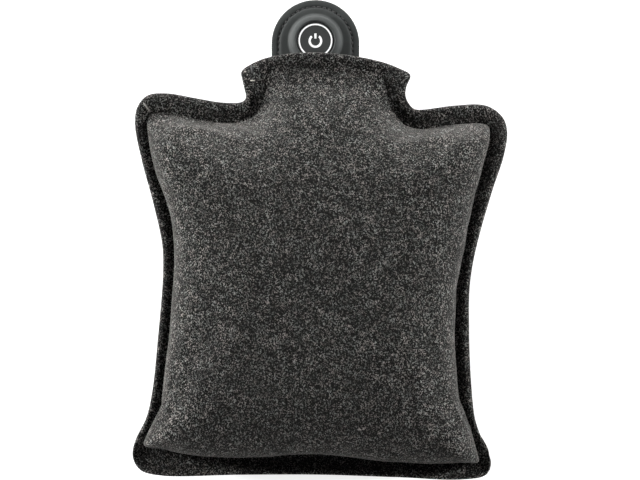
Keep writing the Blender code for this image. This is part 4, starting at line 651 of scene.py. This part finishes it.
def smooth_loop(knots, steps):
    """A closed curve through the knots, eased more over long spans than over short ones."""
    knots = np.array(knots)
    count = len(knots)
    path = []
    for i in range(count):
        a, b, c, d = knots[i - 1], knots[i], knots[(i + 1) % count], knots[(i + 2) % count]
        first = math.sqrt(np.linalg.norm(b - a))
        second = first + math.sqrt(np.linalg.norm(c - b))
        third = second + math.sqrt(np.linalg.norm(d - c))
        for k in range(steps):
            t = first + (second - first) * k / steps
            ab = (first - t) / first * a + t / first * b
            bc = (second - t) / (second - first) * b + (t - first) / (second - first) * c
            cd = (third - t) / (third - second) * c + (t - second) / (third - second) * d
            abc = (second - t) / second * ab + t / second * bc
            bcd = (third - t) / (third - first) * bc + (t - first) / (third - first) * cd
            path.append((second - t) / (second - first) * abc + (t - first) / (second - first) * bcd)
    return np.array(path)


def cover_loop(knots, steps):
    """A closed curve through knots in thousandths of the cover's width and length."""
    return smooth_loop([(x / 1000 * COVER_WIDTH, along(y / 1000)) for x, y in knots], steps)


class Form:
    """The outline, the rays from it to the middle of the body, and the crease inside the hem."""

    def __init__(self, side):
        dense = cover_loop(OUTLINE, SPLINE_STEPS)
        ahead = np.roll(dense, -1, axis=0) - dense
        length = np.linalg.norm(ahead, axis=1)
        total = np.concatenate([[0.0], np.cumsum(length)])
        wanted = np.arange(RAY_COUNT) / RAY_COUNT * total[-1]
        spots = np.searchsorted(total, wanted, side="right") - 1
        part = (wanted - total[spots]) / length[spots]
        heading = ahead[spots] / length[spots][:, None]
        outward = np.stack([heading[:, 1], -heading[:, 0]], axis=1)
        self.dense = dense
        self.edge = dense[spots] + ahead[spots] * part[:, None] + OUTLINE_FUZZ * outward
        inward = np.array([0.0, along(BODY_CENTRE_SHARE)]) - self.edge
        self.full = np.linalg.norm(inward, axis=1)
        self.inward = inward / self.full[:, None]
        if side > 0:
            self.crease = self.until(cover_loop(CREASE, CREASE_STEPS)) + CREASE_INSET
        else:
            neck = ease(self.edge[:, 1], along(NECK_ROOT_SHARE), along(NECK_TIP_SHARE))
            across = np.abs(self.edge[:, 0]) < NECK_HEM_SHARE * COVER_WIDTH
            hem = HEM_SIDE + (HEM_END - HEM_SIDE) * np.maximum(outward[:, 1] ** 2, neck * across)
            self.crease = soften(self.reach(soften(hem, HEM_SOFTENING)), CREASE_SOFTENING)
        self.fold = self.at(self.crease)

    def at(self, distance):
        return self.edge + np.asarray(distance)[:, None] * self.inward

    def reach(self, width):
        """How far along each ray a point is first this far from the outline."""
        found = np.zeros(RAY_COUNT)
        for i in range(RAY_COUNT):
            steps = np.linspace(0.0, REACH_SHARE, REACH_STEPS) * self.full[i]
            spots = self.edge[i] + steps[:, None] * self.inward[i]
            away = np.linalg.norm(spots[:, None] - self.dense[None], axis=2).min(axis=1)
            found[i] = steps[np.argmax(away >= width[i] + (steps > 0) * OUTLINE_FUZZ)]
        return found

    def until(self, loop):
        """How far along each ray a closed path lies."""
        ahead = np.roll(loop, -1, axis=0) - loop
        found = np.empty(RAY_COUNT)
        for i, (start, way) in enumerate(zip(self.edge, self.inward)):
            offset = loop - start
            cross = way[0] * ahead[:, 1] - way[1] * ahead[:, 0]
            distance = (offset[:, 0] * ahead[:, 1] - offset[:, 1] * ahead[:, 0]) / cross
            part = (offset[:, 0] * way[1] - offset[:, 1] * way[0]) / cross
            found[i] = distance[(part >= 0) & (part <= 1) & (distance > 0) & (distance < self.full[i])].min()
        return found

    def past_crease(self, plan):
        """How far each point lies from the nearest side of the crease."""
        ahead = np.roll(self.fold, -1, axis=0) - self.fold
        nearest = np.empty(len(plan))
        for start in range(0, len(plan), 800):
            offset = plan[start:start + 800, None] - self.fold[None]
            part = np.clip((offset * ahead).sum(axis=2) / (ahead ** 2).sum(axis=1), 0.0, 1.0)
            nearest[start:start + 800] = np.linalg.norm(offset - part[..., None] * ahead, axis=2).min(axis=1)
        return nearest

    def ring(self, share):
        """The ring that lies past the crease by a share of the shoulder."""
        left = soften(self.full - self.crease - share * SHOULDER, round(RING_SOFTENING * share))
        return self.at(self.full - left)


def mouth_share(plan):
    """How high the turned rim stands at each point of the neck's mouth, from 0 to 1."""
    across = np.clip(plan[:, 0] / (NECK_HALF_SHARE * COVER_WIDTH), -1.0, 1.0)
    return (1 - across * across) * ease(plan[:, 1], along(NECK_ROOT_SHARE), along(NECK_TIP_SHARE))


def mouth_lift(plan, side):
    return (MOUTH_RISE if side > 0 else MOUTH_DROP) * mouth_share(plan)


def open_share(plan):
    """How wide the neck's mouth stands open at each point, from 0 to 1."""
    return np.sqrt(np.clip(mouth_share(plan), 0.0, 1.0))


def softness(plan, side):
    """How softly the body meets its hem: 1 at the shoulders and the mouth, 0 along the sides and the bottom."""
    top = ease(plan[:, 1], along(SHOULDER_SHARES[0]), along(SHOULDER_SHARES[1])) if side > 0 else 0.0
    return np.maximum(open_share(plan), SHOULDER_SOFTNESS * top)


def crease_height(plan):
    return CREASE_HEIGHT + (MOUTH_CREASE_HEIGHT - CREASE_HEIGHT) * open_share(plan)


def body_height(plan, past, side):
    """The height of the filled body over the hem, from how far each point lies past the crease."""
    u = np.clip(past / SHOULDER, 0.0, 1.0)
    steep = (1 - (1 - u) ** WALL_POWER) ** (1 / WALL_POWER)
    wall = steep + (ease(u, 0.0, SOFT_WALL_SHARE) - steep) * softness(plan, side)
    across = plan[:, 0] / (COVER_WIDTH / 2)
    up = (plan[:, 1] - along(BODY_MIDDLE_SHARE)) / (COVER_LENGTH / 2)
    crown = np.clip(1 - across ** 2, 0.0, 1.0) * np.clip(1 - up ** 2, 0.0, 1.0)
    share = CROWN_SHARE if side > 0 else 0.0
    lost, start, end = FRONT_TAPER_SHARES if side > 0 else BACK_TAPER_SHARES
    slope = np.clip((plan[:, 1] - along(start)) / (along(end) - along(start)), 0.0, 1.0)
    taper = 1 - lost * (ease(plan[:, 1], along(start), along(end)) + slope) / 2
    rise = FRONT_RISE if side > 0 else BACK_SWELL
    return rise * wall * taper * (1 - share + share * crown)


def skin_height(form, plan, side):
    mouth = mouth_lift(plan, side)
    neck = ease(plan[:, 1], along(NECK_ROOT_SHARE), along(NECK_TIP_SHARE)) if side > 0 else 1.0
    past = form.past_crease(plan)
    height = HEM_THICK + mouth + np.maximum(body_height(plan, past, side) - neck * mouth, 0.0)
    height -= (HEM_THICK - crease_height(plan)) * softness(plan, side) * np.exp(-(past / VALLEY_WIDTH) ** 2)
    return height if side > 0 else np.minimum(height, SEAM_Z)


def hem_rings(form, side):
    """The rolled hem, from its outer edge in to the crease."""
    rings = []
    for k in range(HEM_RING_COUNT):
        share = (1 - math.cos(math.pi * k / (HEM_RING_COUNT - 1))) / 2
        plan = form.at(form.crease * share)
        mouth = mouth_lift(plan, side)
        edge = HEM_EDGE + (MOUTH_EDGE - HEM_EDGE) * open_share(plan)
        low = edge + (crease_height(plan) - edge) * share
        bottom = 1 - ease(plan[:, 1], along(BOTTOM_SHARES[0]), along(BOTTOM_SHARES[1]))
        turned = 2 * share ** (HEM_LEAN + (BOTTOM_HEM_LEAN - HEM_LEAN) * bottom) - 1
        roll = (1 - np.abs(turned) ** HEM_POWER) ** (1 / HEM_POWER)
        slope = np.where(turned > 0, np.maximum(softness(plan, side), HEM_SLOPE + (1 - HEM_SLOPE) * bottom), 0.0)
        roll += (0.5 + 0.5 * np.cos(np.pi * turned) - roll) * slope
        rings.append(np.column_stack([plan, mouth + low + (HEM_THICK - low) * roll]))
    return rings


def wall_rings(form, side, field_share):
    """The steep wall over the crease, which leans out over the hem, more in some places than in others."""
    last = math.acos((1 - field_share) ** (WALL_POWER / 2))
    spots = [Vector((x * PUCKER_SCALE, y * PUCKER_SCALE, side * 3.0)) for x, y in form.edge]
    puckers = np.array([noise.noise(spot) for spot in spots])
    firm = 1 - softness(form.edge, side)
    rings = []
    for k in range(1, WALL_RING_COUNT + 1):
        angle = last * k / WALL_RING_COUNT
        share = 1 - math.cos(angle) ** (2 / WALL_POWER)
        plan = form.ring(share)
        height = skin_height(form, plan, side)
        bulge = WALL_BULGE * abs(math.sin(math.pi * k / WALL_RING_COUNT)) ** BULGE_POWER
        lean = bulge * firm * (1 + PUCKER_DEPTH * puckers)
        rings.append(np.column_stack([plan - lean[:, None] * form.inward, height]))
    return rings


def slot_loop(margin):
    """The zip's slot with a margin round it: straight sides and round ends."""
    half_width = SLOT_HALF_WIDTH + margin
    straight = SLOT_HALF_LENGTH - SLOT_HALF_WIDTH / 2
    round_steps = 8
    count = round(2 * straight / FIELD_SPACING)
    loop = []
    for way in (1, -1):
        for k in range(round_steps + 1):
            angle = math.pi * (k / round_steps - 0.5)
            reach = (SLOT_HALF_WIDTH / 2 + margin) * math.cos(angle)
            loop.append((way * (straight + reach), ZIP_Y + way * half_width * math.sin(angle)))
        loop += [(way * straight * (1 - 2 * k / count), ZIP_Y + way * half_width) for k in range(1, count)]
    return np.array(loop)


def seam_loop(way, half_width, end):
    """A narrow loop along the seam that runs from the end of the slot to the side of the back."""
    start = SLOT_HALF_LENGTH + SLOT_STITCH_MARGIN + 0.004
    xs = np.linspace(start, end, round((end - start) / FIELD_SPACING) + 1)
    there = [(way * x, ZIP_Y - way * half_width) for x in xs]
    back = [(way * x, ZIP_Y + way * half_width) for x in reversed(xs)]
    return np.array(there + back)


def back_guides(boundary):
    """Guide loops for the stitched groove round the slot and the seams beside it, and how deep each lies."""
    guides = [(slot_loop(margin), depth) for margin, depth in (
        (SLOT_LIP, 0.0), (SLOT_STITCH_MARGIN - GROOVE_HALF_WIDTH, 0.0), (SLOT_STITCH_MARGIN, SEAM_GROOVE),
        (SLOT_STITCH_MARGIN + GROOVE_HALF_WIDTH, 0.0),
    )]
    level = boundary[np.abs(boundary[:, 1] - ZIP_Y) < 0.006]
    for way in (1, -1):
        end = np.abs(level[level[:, 0] * way > 0][:, 0]).min() - FIELD_SPACING
        guides.append((seam_loop(way, SEAM_HALF_WIDTH, end), 0.0))
        guides.append((seam_loop(way, SEAM_CORE_HALF_WIDTH, end - 0.001), SEAM_GROOVE))
    return guides


def skin(form, side, name):
    """One side of the cover as an open skin: hem and wall as rings, and an even field inside them."""
    field_share = FRONT_FIELD_SHARE if side > 0 else BACK_FIELD_SHARE
    rings = hem_rings(form, side) + wall_rings(form, side, field_share)
    points = np.concatenate(rings)
    faces = ring_faces(len(rings), RAY_COUNT)
    boundary = rings[-1][:, :2]
    guides = [] if side > 0 else back_guides(boundary)
    holes = [] if side > 0 else [slot_loop(0.0)]
    plan, triangles = field(boundary, [loop for loop, _ in guides], holes, FIELD_SPACING)
    height = skin_height(form, plan, side)
    for loop, depth in guides:
        if depth:
            near = np.linalg.norm(plan[:, None] - loop[None], axis=2).min(axis=1) < 1e-5
            height[near] -= depth
    start = len(points)
    points = np.concatenate([points, np.column_stack([plan, height])])
    faces += [tuple(int(start + index) for index in triangle) for triangle in triangles]
    wall = np.maximum(1 - np.arange(1, WALL_RING_COUNT + 1) / HELD_RINGS, 0.0)
    held = np.concatenate([
        np.ones(HEM_RING_COUNT * RAY_COUNT), np.repeat(wall, RAY_COUNT), np.full(len(plan), float(side < 0)),
    ])
    points[:, 2] = SEAM_Z + side * points[:, 2]
    item = mesh_object(name, points, faces, FELT)
    with edited(item) as shell:
        mark = shell.verts.layers.float.new("held")
        for vertex, value in zip(shell.verts, held):
            vertex[mark] = value
        bmesh.ops.remove_doubles(shell, verts=shell.verts, dist=SAME_PLACE)
        bmesh.ops.recalc_face_normals(shell, faces=shell.faces)
        if sum(face.normal.z * face.calc_area() for face in shell.faces) * side < 0:
            bmesh.ops.reverse_faces(shell, faces=shell.faces)
    return item


def held_values(item):
    return read(item.data.attributes["held"].data, "value", 1)[:, 0]


def even_out(item, side):
    """Take the ridges out of the body, and lay the felt in low, broad waves."""
    points = places(item)
    pairs = edge_pairs(item)
    free = 1 - held_values(item)
    for _ in range(EVEN_PASSES):
        mean = neighbour_mean(points[:, 2], pairs, len(points))
        points[:, 2] += 0.5 * free * (mean - points[:, 2])
    for k, point in enumerate(points):
        spot = Vector(point)
        wave = sum(share * noise.noise(spot * scale) for scale, share in WAVES)
        points[k, 2] += side * WAVE_HEIGHT * free[k] * wave
    points[:, 2] = np.maximum(points[:, 2], 0.0)
    move_to(item, points)


def swell(item, side):
    """Let the filling's pressure swell the skin for a few frames, and keep the swollen shape."""
    scene = bpy.context.scene
    rest = places(item)
    held = held_values(item)
    group = item.vertex_groups.new(name="held")
    for index, weight in enumerate(held):
        if weight > 0:
            group.add([index], float(weight), "REPLACE")
    cloth = item.modifiers.new("cloth", "CLOTH")
    settings = cloth.settings
    settings.quality = 5
    settings.tension_stiffness = settings.compression_stiffness = CLOTH_STIFFNESS
    settings.bending_stiffness = BENDING_STIFFNESS
    settings.use_pressure = True
    settings.uniform_pressure_force = PRESSURE
    settings.effector_weights.gravity = 0.0
    settings.vertex_group_mass = group.name
    cloth.point_cache.frame_start = 1
    cloth.point_cache.frame_end = PRESSURE_FRAMES
    for number in range(1, PRESSURE_FRAMES + 1):
        scene.frame_set(number)
    swollen = places(item.evaluated_get(bpy.context.evaluated_depsgraph_get()))
    item.modifiers.remove(cloth)
    item.vertex_groups.remove(group)
    scene.frame_set(1)
    move = swollen - rest
    size = np.linalg.norm(move, axis=1)
    move *= (np.minimum(size, MOST_SWELL) / np.maximum(size, 1e-9))[:, None]
    points = rest + move
    if side < 0:
        points[:, 2] = np.maximum(points[:, 2], 0.0)
    move_to(item, points)
    print("swell", item.name, len(points), "most", round(float(size.max()) * 1000, 2), "mm")


def thickened(item, side, name):
    """Give the skin the thickness of the felt, and keep its inner face clear of the other ply."""
    inner = places(item) - FELT_THICK * outward_normals(item, side)
    mouth = np.where(held_values(item) > 0.99, mouth_lift(inner[:, :2], side), 0.0)
    inner[:, 2] = SEAM_Z + side * np.maximum(side * (inner[:, 2] - SEAM_Z), PLY_CLEARANCE + mouth)
    return closed_shell(item, name, inner, FELT)


def cover():
    """Both sides of the felt cover; gives back the front."""
    pieces = []
    for side, name, nodes in (
        (1, "cover_front_felt", ("cover_front",)),
        (-1, "cover_back_felt", ("cover_back_upper", "cover_back_lower")),
    ):
        item = skin(Form(side), side, name + "_skin")
        even_out(item, side)
        swell(item, side)
        item = on_cushion(thickened(item, side, name), "felt", *nodes)
        pieces.append(item)
    return pieces[0]


# Stitching

def stitches(name, path, pitch, length, radius, finish, up=1, closed=False, stretch=1.0):
    """Separate stitches along a path, each a piece of thread whose ends sink into the material."""
    path = np.array(path)
    if closed:
        path = np.concatenate([path, path[:1]])
    total = np.concatenate([[0.0], np.cumsum(np.linalg.norm(np.diff(path, axis=0), axis=1))])

    def at(distance):
        return np.array([np.interp(distance, total, path[:, axis]) for axis in range(3)])

    points = []
    faces = []
    for k in range(int(total[-1] / pitch)):
        start = (k + 0.5) * pitch - length / 2
        base = len(points)
        for share in STITCH_SHARES:
            there = start + share * length
            spot, before, after = at(there), at(there - radius), at(there + radius)
            ahead = (after - before) / np.linalg.norm(after - before)
            side = np.cross(ahead, (0.0, 0.0, 1.0))
            side /= np.linalg.norm(side)
            lift = np.cross(side, ahead)
            ends = abs(2 * share - 1)
            wide = radius * max(math.sqrt(max(1 - ends ** 4, 0.0)), END_WIDTH)
            sunk = -END_SINK * radius * ends ** 5
            for turn in range(THREAD_SIDES):
                angle = 2 * math.pi * turn / THREAD_SIDES
                offset = wide * (stretch * math.cos(angle) * side + math.sin(angle) * lift)
                points.append(spot + offset + up * sunk * lift)
        faces += ring_faces(len(STITCH_SHARES), THREAD_SIDES, base)
        faces.append(tuple(base + i for i in reversed(range(THREAD_SIDES))))
        faces.append(tuple(len(points) - THREAD_SIDES + i for i in range(THREAD_SIDES)))
    return mesh_object(name, points, faces, finish)


def surface_tree(item):
    mesh = item.data
    return BVHTree.FromPolygons([v.co.copy() for v in mesh.vertices], [tuple(f.vertices) for f in mesh.polygons])


def laid_on(tree, plan, lift):
    """Points of a plan laid on the front of a surface."""
    down = Vector((0.0, 0.0, -1.0))
    return [(x, y, tree.ray_cast(Vector((x, y, 1.0)), down)[0].z + lift) for x, y in plan]


def cover_stitching(felt):
    """Topstitching round the zip's slot, the seam and tack seen at the top of the front, and a pale line along the
    mitre fold there, which is a painted highlight.
    """
    path = [(x, y, SEAM_GROOVE * SLOT_THREAD_SHARE) for x, y in slot_loop(SLOT_STITCH_MARGIN)]
    on_cushion(stitches(
        "slot_topstitching", path, SLOT_STITCH_PITCH, SLOT_STITCH_LENGTH, SLOT_THREAD_RADIUS, FELT_THREAD, up=-1,
        closed=True,
    ), "felt")
    for name, finish, radius, sunk, ends in (
        ("neck_side_seam", FELT_THREAD, 0.0008, 0.0003, ((-0.183, 0.974), (-0.179, 0.950))),
        ("neck_tack", PALE_THREAD, 0.0005, 0.0, ((-0.187, 0.935), (-0.172, 0.935))),
        # A pale strand along the shoulder's mitre fold: painted highlight where the fold catches the light.
        ("shoulder_mitre_fold_painted_highlight", MITRE_FOLD_HIGHLIGHT, 0.0004, 0.0, ((-0.474, 0.887), (-0.452, 0.861))),
    ):
        plan = np.linspace(*ends, 24)
        path = laid_on(felt, [(x * COVER_WIDTH, along(y)) for x, y in plan], radius / 2 - sunk)
        long = sum(math.dist(a, b) for a, b in zip(path, path[1:]))
        on_cushion(stitches(name, path, long, 0.98 * long, radius, finish), "felt")


# Switch tab

def tab_loop(margin):
    """The tab's outline, a margin inside its edge: straight sides and a round top."""
    radius = TAB_RADIUS - margin
    low = TAB_TAIL_Y + margin
    side_count = round((TAB_ARC_Y - low) / TAB_SPACING)
    arc_count = round(math.pi * radius / TAB_SPACING)
    base_count = round(2 * radius / TAB_SPACING)
    loop = [(TAB_X - radius + 2 * radius * k / base_count, low) for k in range(base_count)]
    loop += [(TAB_X + radius, low + (TAB_ARC_Y - low) * k / side_count) for k in range(side_count)]
    for k in range(arc_count + 1):
        angle = math.pi * k / arc_count
        loop.append((TAB_X + radius * math.cos(angle), TAB_ARC_Y + radius * math.sin(angle)))
    loop += [(TAB_X - radius, TAB_ARC_Y - (TAB_ARC_Y - low) * k / side_count) for k in range(1, side_count)]
    return np.array(loop)


def from_tab_edge(plan):
    """How far each point lies inside the tab's edge."""
    sides = TAB_RADIUS - np.abs(plan[:, 0] - TAB_X)
    round_top = TAB_RADIUS - np.hypot(plan[:, 0] - TAB_X, plan[:, 1] - TAB_ARC_Y)
    away = np.where(plan[:, 1] > TAB_ARC_Y, round_top, sides)
    return np.minimum(away, plan[:, 1] - TAB_TAIL_Y)


def circle(centre, radius, count):
    angles = 2 * np.pi * np.arange(count) / count
    return np.column_stack([centre[0] + radius * np.cos(angles), centre[1] + radius * np.sin(angles)])


def tab_panel(name, side, finish):
    """A leather panel of the tab: edge strip, stitched groove, padded middle and, in front, the bump."""
    away, heights = zip(*TAB_HEIGHTS)
    guides = [tab_loop(margin) for margin in away[1:]]
    holes = [circle(PUCK, BUMP_HEIGHTS[0][0], BUMP_STEPS)] if side > 0 else []
    plan, triangles = field(tab_loop(-TAB_EDGE_FUZZ), guides, holes, TAB_SPACING)
    height = np.interp(from_tab_edge(plan), away, heights)
    points = np.column_stack([plan, LEATHER_TOP - SEAM_Z + height])
    faces = [tuple(map(int, triangle)) for triangle in triangles]
    if side > 0:
        faces += ring_faces(len(BUMP_HEIGHTS), BUMP_STEPS, len(points))
        for radius, up in BUMP_HEIGHTS:
            ring = circle(PUCK, radius, BUMP_STEPS)
            ring = np.column_stack([ring, np.full(BUMP_STEPS, LEATHER_TOP - SEAM_Z + up)])
            points = np.concatenate([points, ring])
    points[:, 2] = SEAM_Z + side * points[:, 2]
    item = mesh_object(name + "_skin", points, faces, finish)
    with edited(item) as shell:
        bmesh.ops.remove_doubles(shell, verts=shell.verts, dist=SAME_PLACE)
        bmesh.ops.recalc_face_normals(shell, faces=shell.faces)
    thick = LEATHER
    if side > 0:
        from_puck = np.linalg.norm(places(item)[:, :2] - PUCK, axis=1)
        thick = np.interp(from_puck, (BUMP_FOOT, BUMP_HEIGHTS[0][0]), (BUMP_LEATHER, LEATHER))[:, None]
    inner = places(item) - thick * outward_normals(item, side)
    inner[:, 2] = SEAM_Z + side * np.maximum(side * (inner[:, 2] - SEAM_Z), TAB_CORE)
    return closed_shell(item, name, inner, finish)


def tab():
    on_cushion(tab_panel("tab_front_leather", 1, LEATHER_FINISH), "tab_leather", "tab_leather_front")
    on_cushion(tab_panel("tab_back_leather", -1, BACK_LEATHER_FINISH), "tab_leather_back", "tab_leather_back")
    level = LEATHER_TOP - SEAM_Z + dict(TAB_HEIGHTS)[TAB_GROOVE] + STITCH_LIFT
    for side, name in ((1, "tab_front_stitching"), (-1, "tab_back_stitching")):
        path = [(x, y, SEAM_Z + side * level) for x, y in tab_loop(TAB_GROOVE)]
        on_cushion(stitches(
            name, path, STITCH_PITCH, STITCH_LENGTH, THREAD_RADIUS, THREAD, up=side, closed=True,
            stretch=STITCH_WIDENING,
        ), "tab_leather")


# Inner cushion

def from_node(node, name, finish):
    """A copy of a node's shape as a new piece, with its split points joined."""
    item = new_object(name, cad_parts[node].data.copy())
    item.data.materials.clear()
    item.data.materials.append(finish)
    with edited(item) as shell:
        bmesh.ops.remove_doubles(shell, verts=shell.verts, dist=1e-5)
        bmesh.ops.triangulate(shell, faces=shell.faces)
        bmesh.ops.subdivide_edges(shell, edges=shell.edges, cuts=1, use_grid_fill=True)
    item.data.shade_smooth()
    return item


def ruffled(item, scale, most):
    """Soft waves through the whole thickness of a piece of cloth."""
    for vertex in item.data.vertices:
        wave = noise.noise_vector(vertex.co * scale) + 0.4 * noise.noise_vector(vertex.co * scale * 2.7)
        vertex.co += most * wave
    item.data.update()


def stuffed(item):
    """A filling as one soft lump: rounded, a little smaller than its space, with tufts."""
    step = item.modifiers.new("remesh", "REMESH")
    step.mode = "VOXEL"
    step.voxel_size = FILLING_VOXEL
    applied(item)
    pairs = edge_pairs(item)
    points = places(item)
    for _ in range(2):
        points += 0.5 * (neighbour_mean(points, pairs, len(points)) - points)
    move_to(item, points)
    for vertex, normal in zip(item.data.vertices, [vertex.normal.copy() for vertex in item.data.vertices]):
        vertex.co -= normal * (FILLING_SHRINK + TUFT_DEPTH * (1 + noise.noise(vertex.co * TUFT_SCALE)))
    item.data.update()


def kept_under(item, felt, gap, whole):
    """Lower a front layer where it would reach the felt: whole columns of a cloth, or only the top of a filling."""
    own = surface_tree(item)
    for vertex in item.data.vertices:
        start = Vector((vertex.co.x, vertex.co.y, SEAM_Z + 0.0002))
        spot = felt.ray_cast(start, Vector((0.0, 0.0, 1.0)))[0]
        if spot is None or vertex.co.z < SEAM_Z:
            continue
        top = own.ray_cast(Vector((start.x, start.y, 1.0)), Vector((0.0, 0.0, -1.0)))[0] if whole else vertex.co
        over = max(0.0, (top or vertex.co).z + gap - spot.z)
        vertex.co.z = max(vertex.co.z - over, min(vertex.co.z, SEAM_Z + gap / 2))
    item.data.update()


def inner_cushion(felt):
    for node, area, flat in (("lining_front", 0.0620, (0.270, 0.300)), ("lining_back", 0.0570, (0.250, 0.300))):
        item = from_node(node, node + "_cloth", LINING)
        ruffled(item, *LINING_WAVES)
        kept_under(item, felt, LINING_GAP, True)
        on_cushion(item, "lining", node)
    for node in ("filling_front", "filling_back"):
        item = from_node(node, node + "_wadding", FILLING)
        stuffed(item)
        kept_under(item, felt, FILLING_GAP, False)
        on_cushion(item, "filling", node)
    item = from_node("heating_layer", "heating_layer_felt", HEATING_FELT)
    ruffled(item, *LAYER_WAVES)
    kept_under(item, felt, LAYER_GAP, True)
    on_cushion(item, "heating_layer", "heating_layer")


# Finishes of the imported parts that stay

def dress():
    for finish, nodes in (
        (plastic_material("dark_plastic", (0.030, 0.030, 0.032), 0.48),
         ("switch_housing", "switch_bezel", "tab_stiffener", "wire_terminal")),
        (board_material(), ("control_board", "protection_board")),
        (plastic_material("connector", (0.72, 0.70, 0.64), 0.45), ("ribbon_plug", "lead_socket")),
        (plastic_material("battery_case", (0.035, 0.035, 0.037), 0.42, 1800.0, 0.00006),
         ("battery_case_base", "battery_case_lid")),
        (plastic_material("cell_wrap", (0.020, 0.20, 0.12), 0.30, 500.0, 0.00004), ("cell_left", "cell_right")),
        (brushed_material("nickel", (0.60, 0.58, 0.54), 0.30),
         ("cell_link_front", "cell_tab_left", "cell_tab_right")),
        (brushed_material("socket_steel", (0.55, 0.55, 0.56), 0.28), ("charging_socket",)),
        (brushed_material("dome_steel", (0.62, 0.61, 0.60), 0.24), ("snap_dome",)),
        (brushed_material("zip_metal", (0.13, 0.13, 0.135), 0.32),
         ("zip_slider", "zip_pull", "zip_stop_upper", "zip_stop_lower", "zip_end_stop")),
        # The white ring and power sign glow though they are no lamp: a painted glow that brightens them.
        (plastic_material("white_inlay", (0.90, 0.90, 0.90), 0.35, glow=0.15),
         ("button_ring", "power_arc", "power_bar")),
        (plastic_material("button_cap", (0.019, 0.0208, 0.0203), 0.54, 3400.0), ("button_cap",)),
        (tape_material(), ("zip_tape_upper", "zip_tape_lower")),
        (ribbon_material(), ("tab_ribbon",)),
        (braid_material("heating_wire", (0.36, 0.13, 0.06)), ("heating_wire",)),
        (plastic_material("lead", (0.020, 0.020, 0.020), 0.58, 1500.0, 0.00005), ("battery_lead", "heater_lead")),
    ):
        for node in nodes:
            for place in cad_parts[node].material_slots:
                place.material = finish


front_felt = surface_tree(cover())
cover_stitching(front_felt)
tab()
inner_cushion(front_felt)
dress()


# Floor, lights and camera

def backdrop_strength(nodes, lit, seen):
    """A strength that is lit for the light on the object, and seen for the camera, gloss and clear pieces."""
    most, gloss, clear = (
        nodes.node("LightPath", name, {}) for name in ("Is Camera Ray", "Is Glossy Ray", "Is Transmission Ray")
    )
    for other in (gloss, clear):
        most = nodes.maths("MAXIMUM", most, other)
    return nodes.maths("MULTIPLY_ADD", most, seen - lit, lit)


def floor():
    """A pale floor that keeps the object's shadow, and looks white to the camera beyond it."""
    shader = Shader("floor")
    strength = backdrop_strength(shader, 0.0, FLOOR_GLOW)
    glow = shader.node("Emission", "Emission", {"Color": (1.0, 1.0, 1.0, 1.0), "Strength": strength})
    both = shader.node("AddShader", "Shader", {0: shader.surface.outputs[0], 1: glow})
    shader.join(both, shader.tree.nodes["Material Output"].inputs["Surface"])
    shader.set(Base_Color=(0.60, 0.60, 0.60), Roughness=0.9)
    half = 4.0
    points = [(-half, -half, 0.0), (half, -half, 0.0), (half, half, 0.0), (-half, half, 0.0)]
    mesh_object("floor", points, [(0, 1, 2, 3)], shader.material)


def lamp(name, place, size, power):
    """A soft lamp turned to the middle of the object."""
    data = bpy.data.lights.new(name, "AREA")
    data.shape = "RECTANGLE"
    data.size, data.size_y = size
    data.energy = power
    item = new_object(name, data)
    item.location = place
    item.rotation_euler = (LAMP_AIM - Vector(place)).to_track_quat("-Z", "Y").to_euler()


def camera():
    data = bpy.data.cameras.new("camera")
    data.sensor_width = SENSOR_WIDTH_MM
    data.lens = SENSOR_WIDTH_MM * CAMERA_DISTANCE / FRAME_WIDTH
    data.clip_end = 20.0
    item = new_object("camera", data)
    item.location = (0.0, 0.0, SEAM_Z + CAMERA_DISTANCE)
    bpy.context.scene.camera = item


floor()
camera()
lamp("key_light", (-1.05, 1.35, 0.30), (1.2, 0.40), 22.0)
lamp("left_light", (-1.62, 0.33, 0.16), (0.26, 1.1), 114.0)
lamp("right_light", (1.62, 0.36, 0.17), (0.26, 1.1), 82.0)
lamp("top_light", (0.10, 1.70, 0.19), (1.3, 0.26), 34.0)
lamp("bottom_light", (0.0, -1.65, 0.36), (1.3, 0.30), 15.0)
world = bpy.data.worlds.new("studio")
world.use_nodes = True
sky = world.node_tree.nodes["Background"]
sky.inputs["Color"].default_value = (1.0, 1.0, 1.0, 1.0)
nodes = Nodes(world.node_tree)
nodes.join(backdrop_strength(nodes, FILL_LIGHT, 1.0), sky.inputs["Strength"])
bpy.context.scene.world = world
bpy.context.scene.view_settings.view_transform = "Standard"
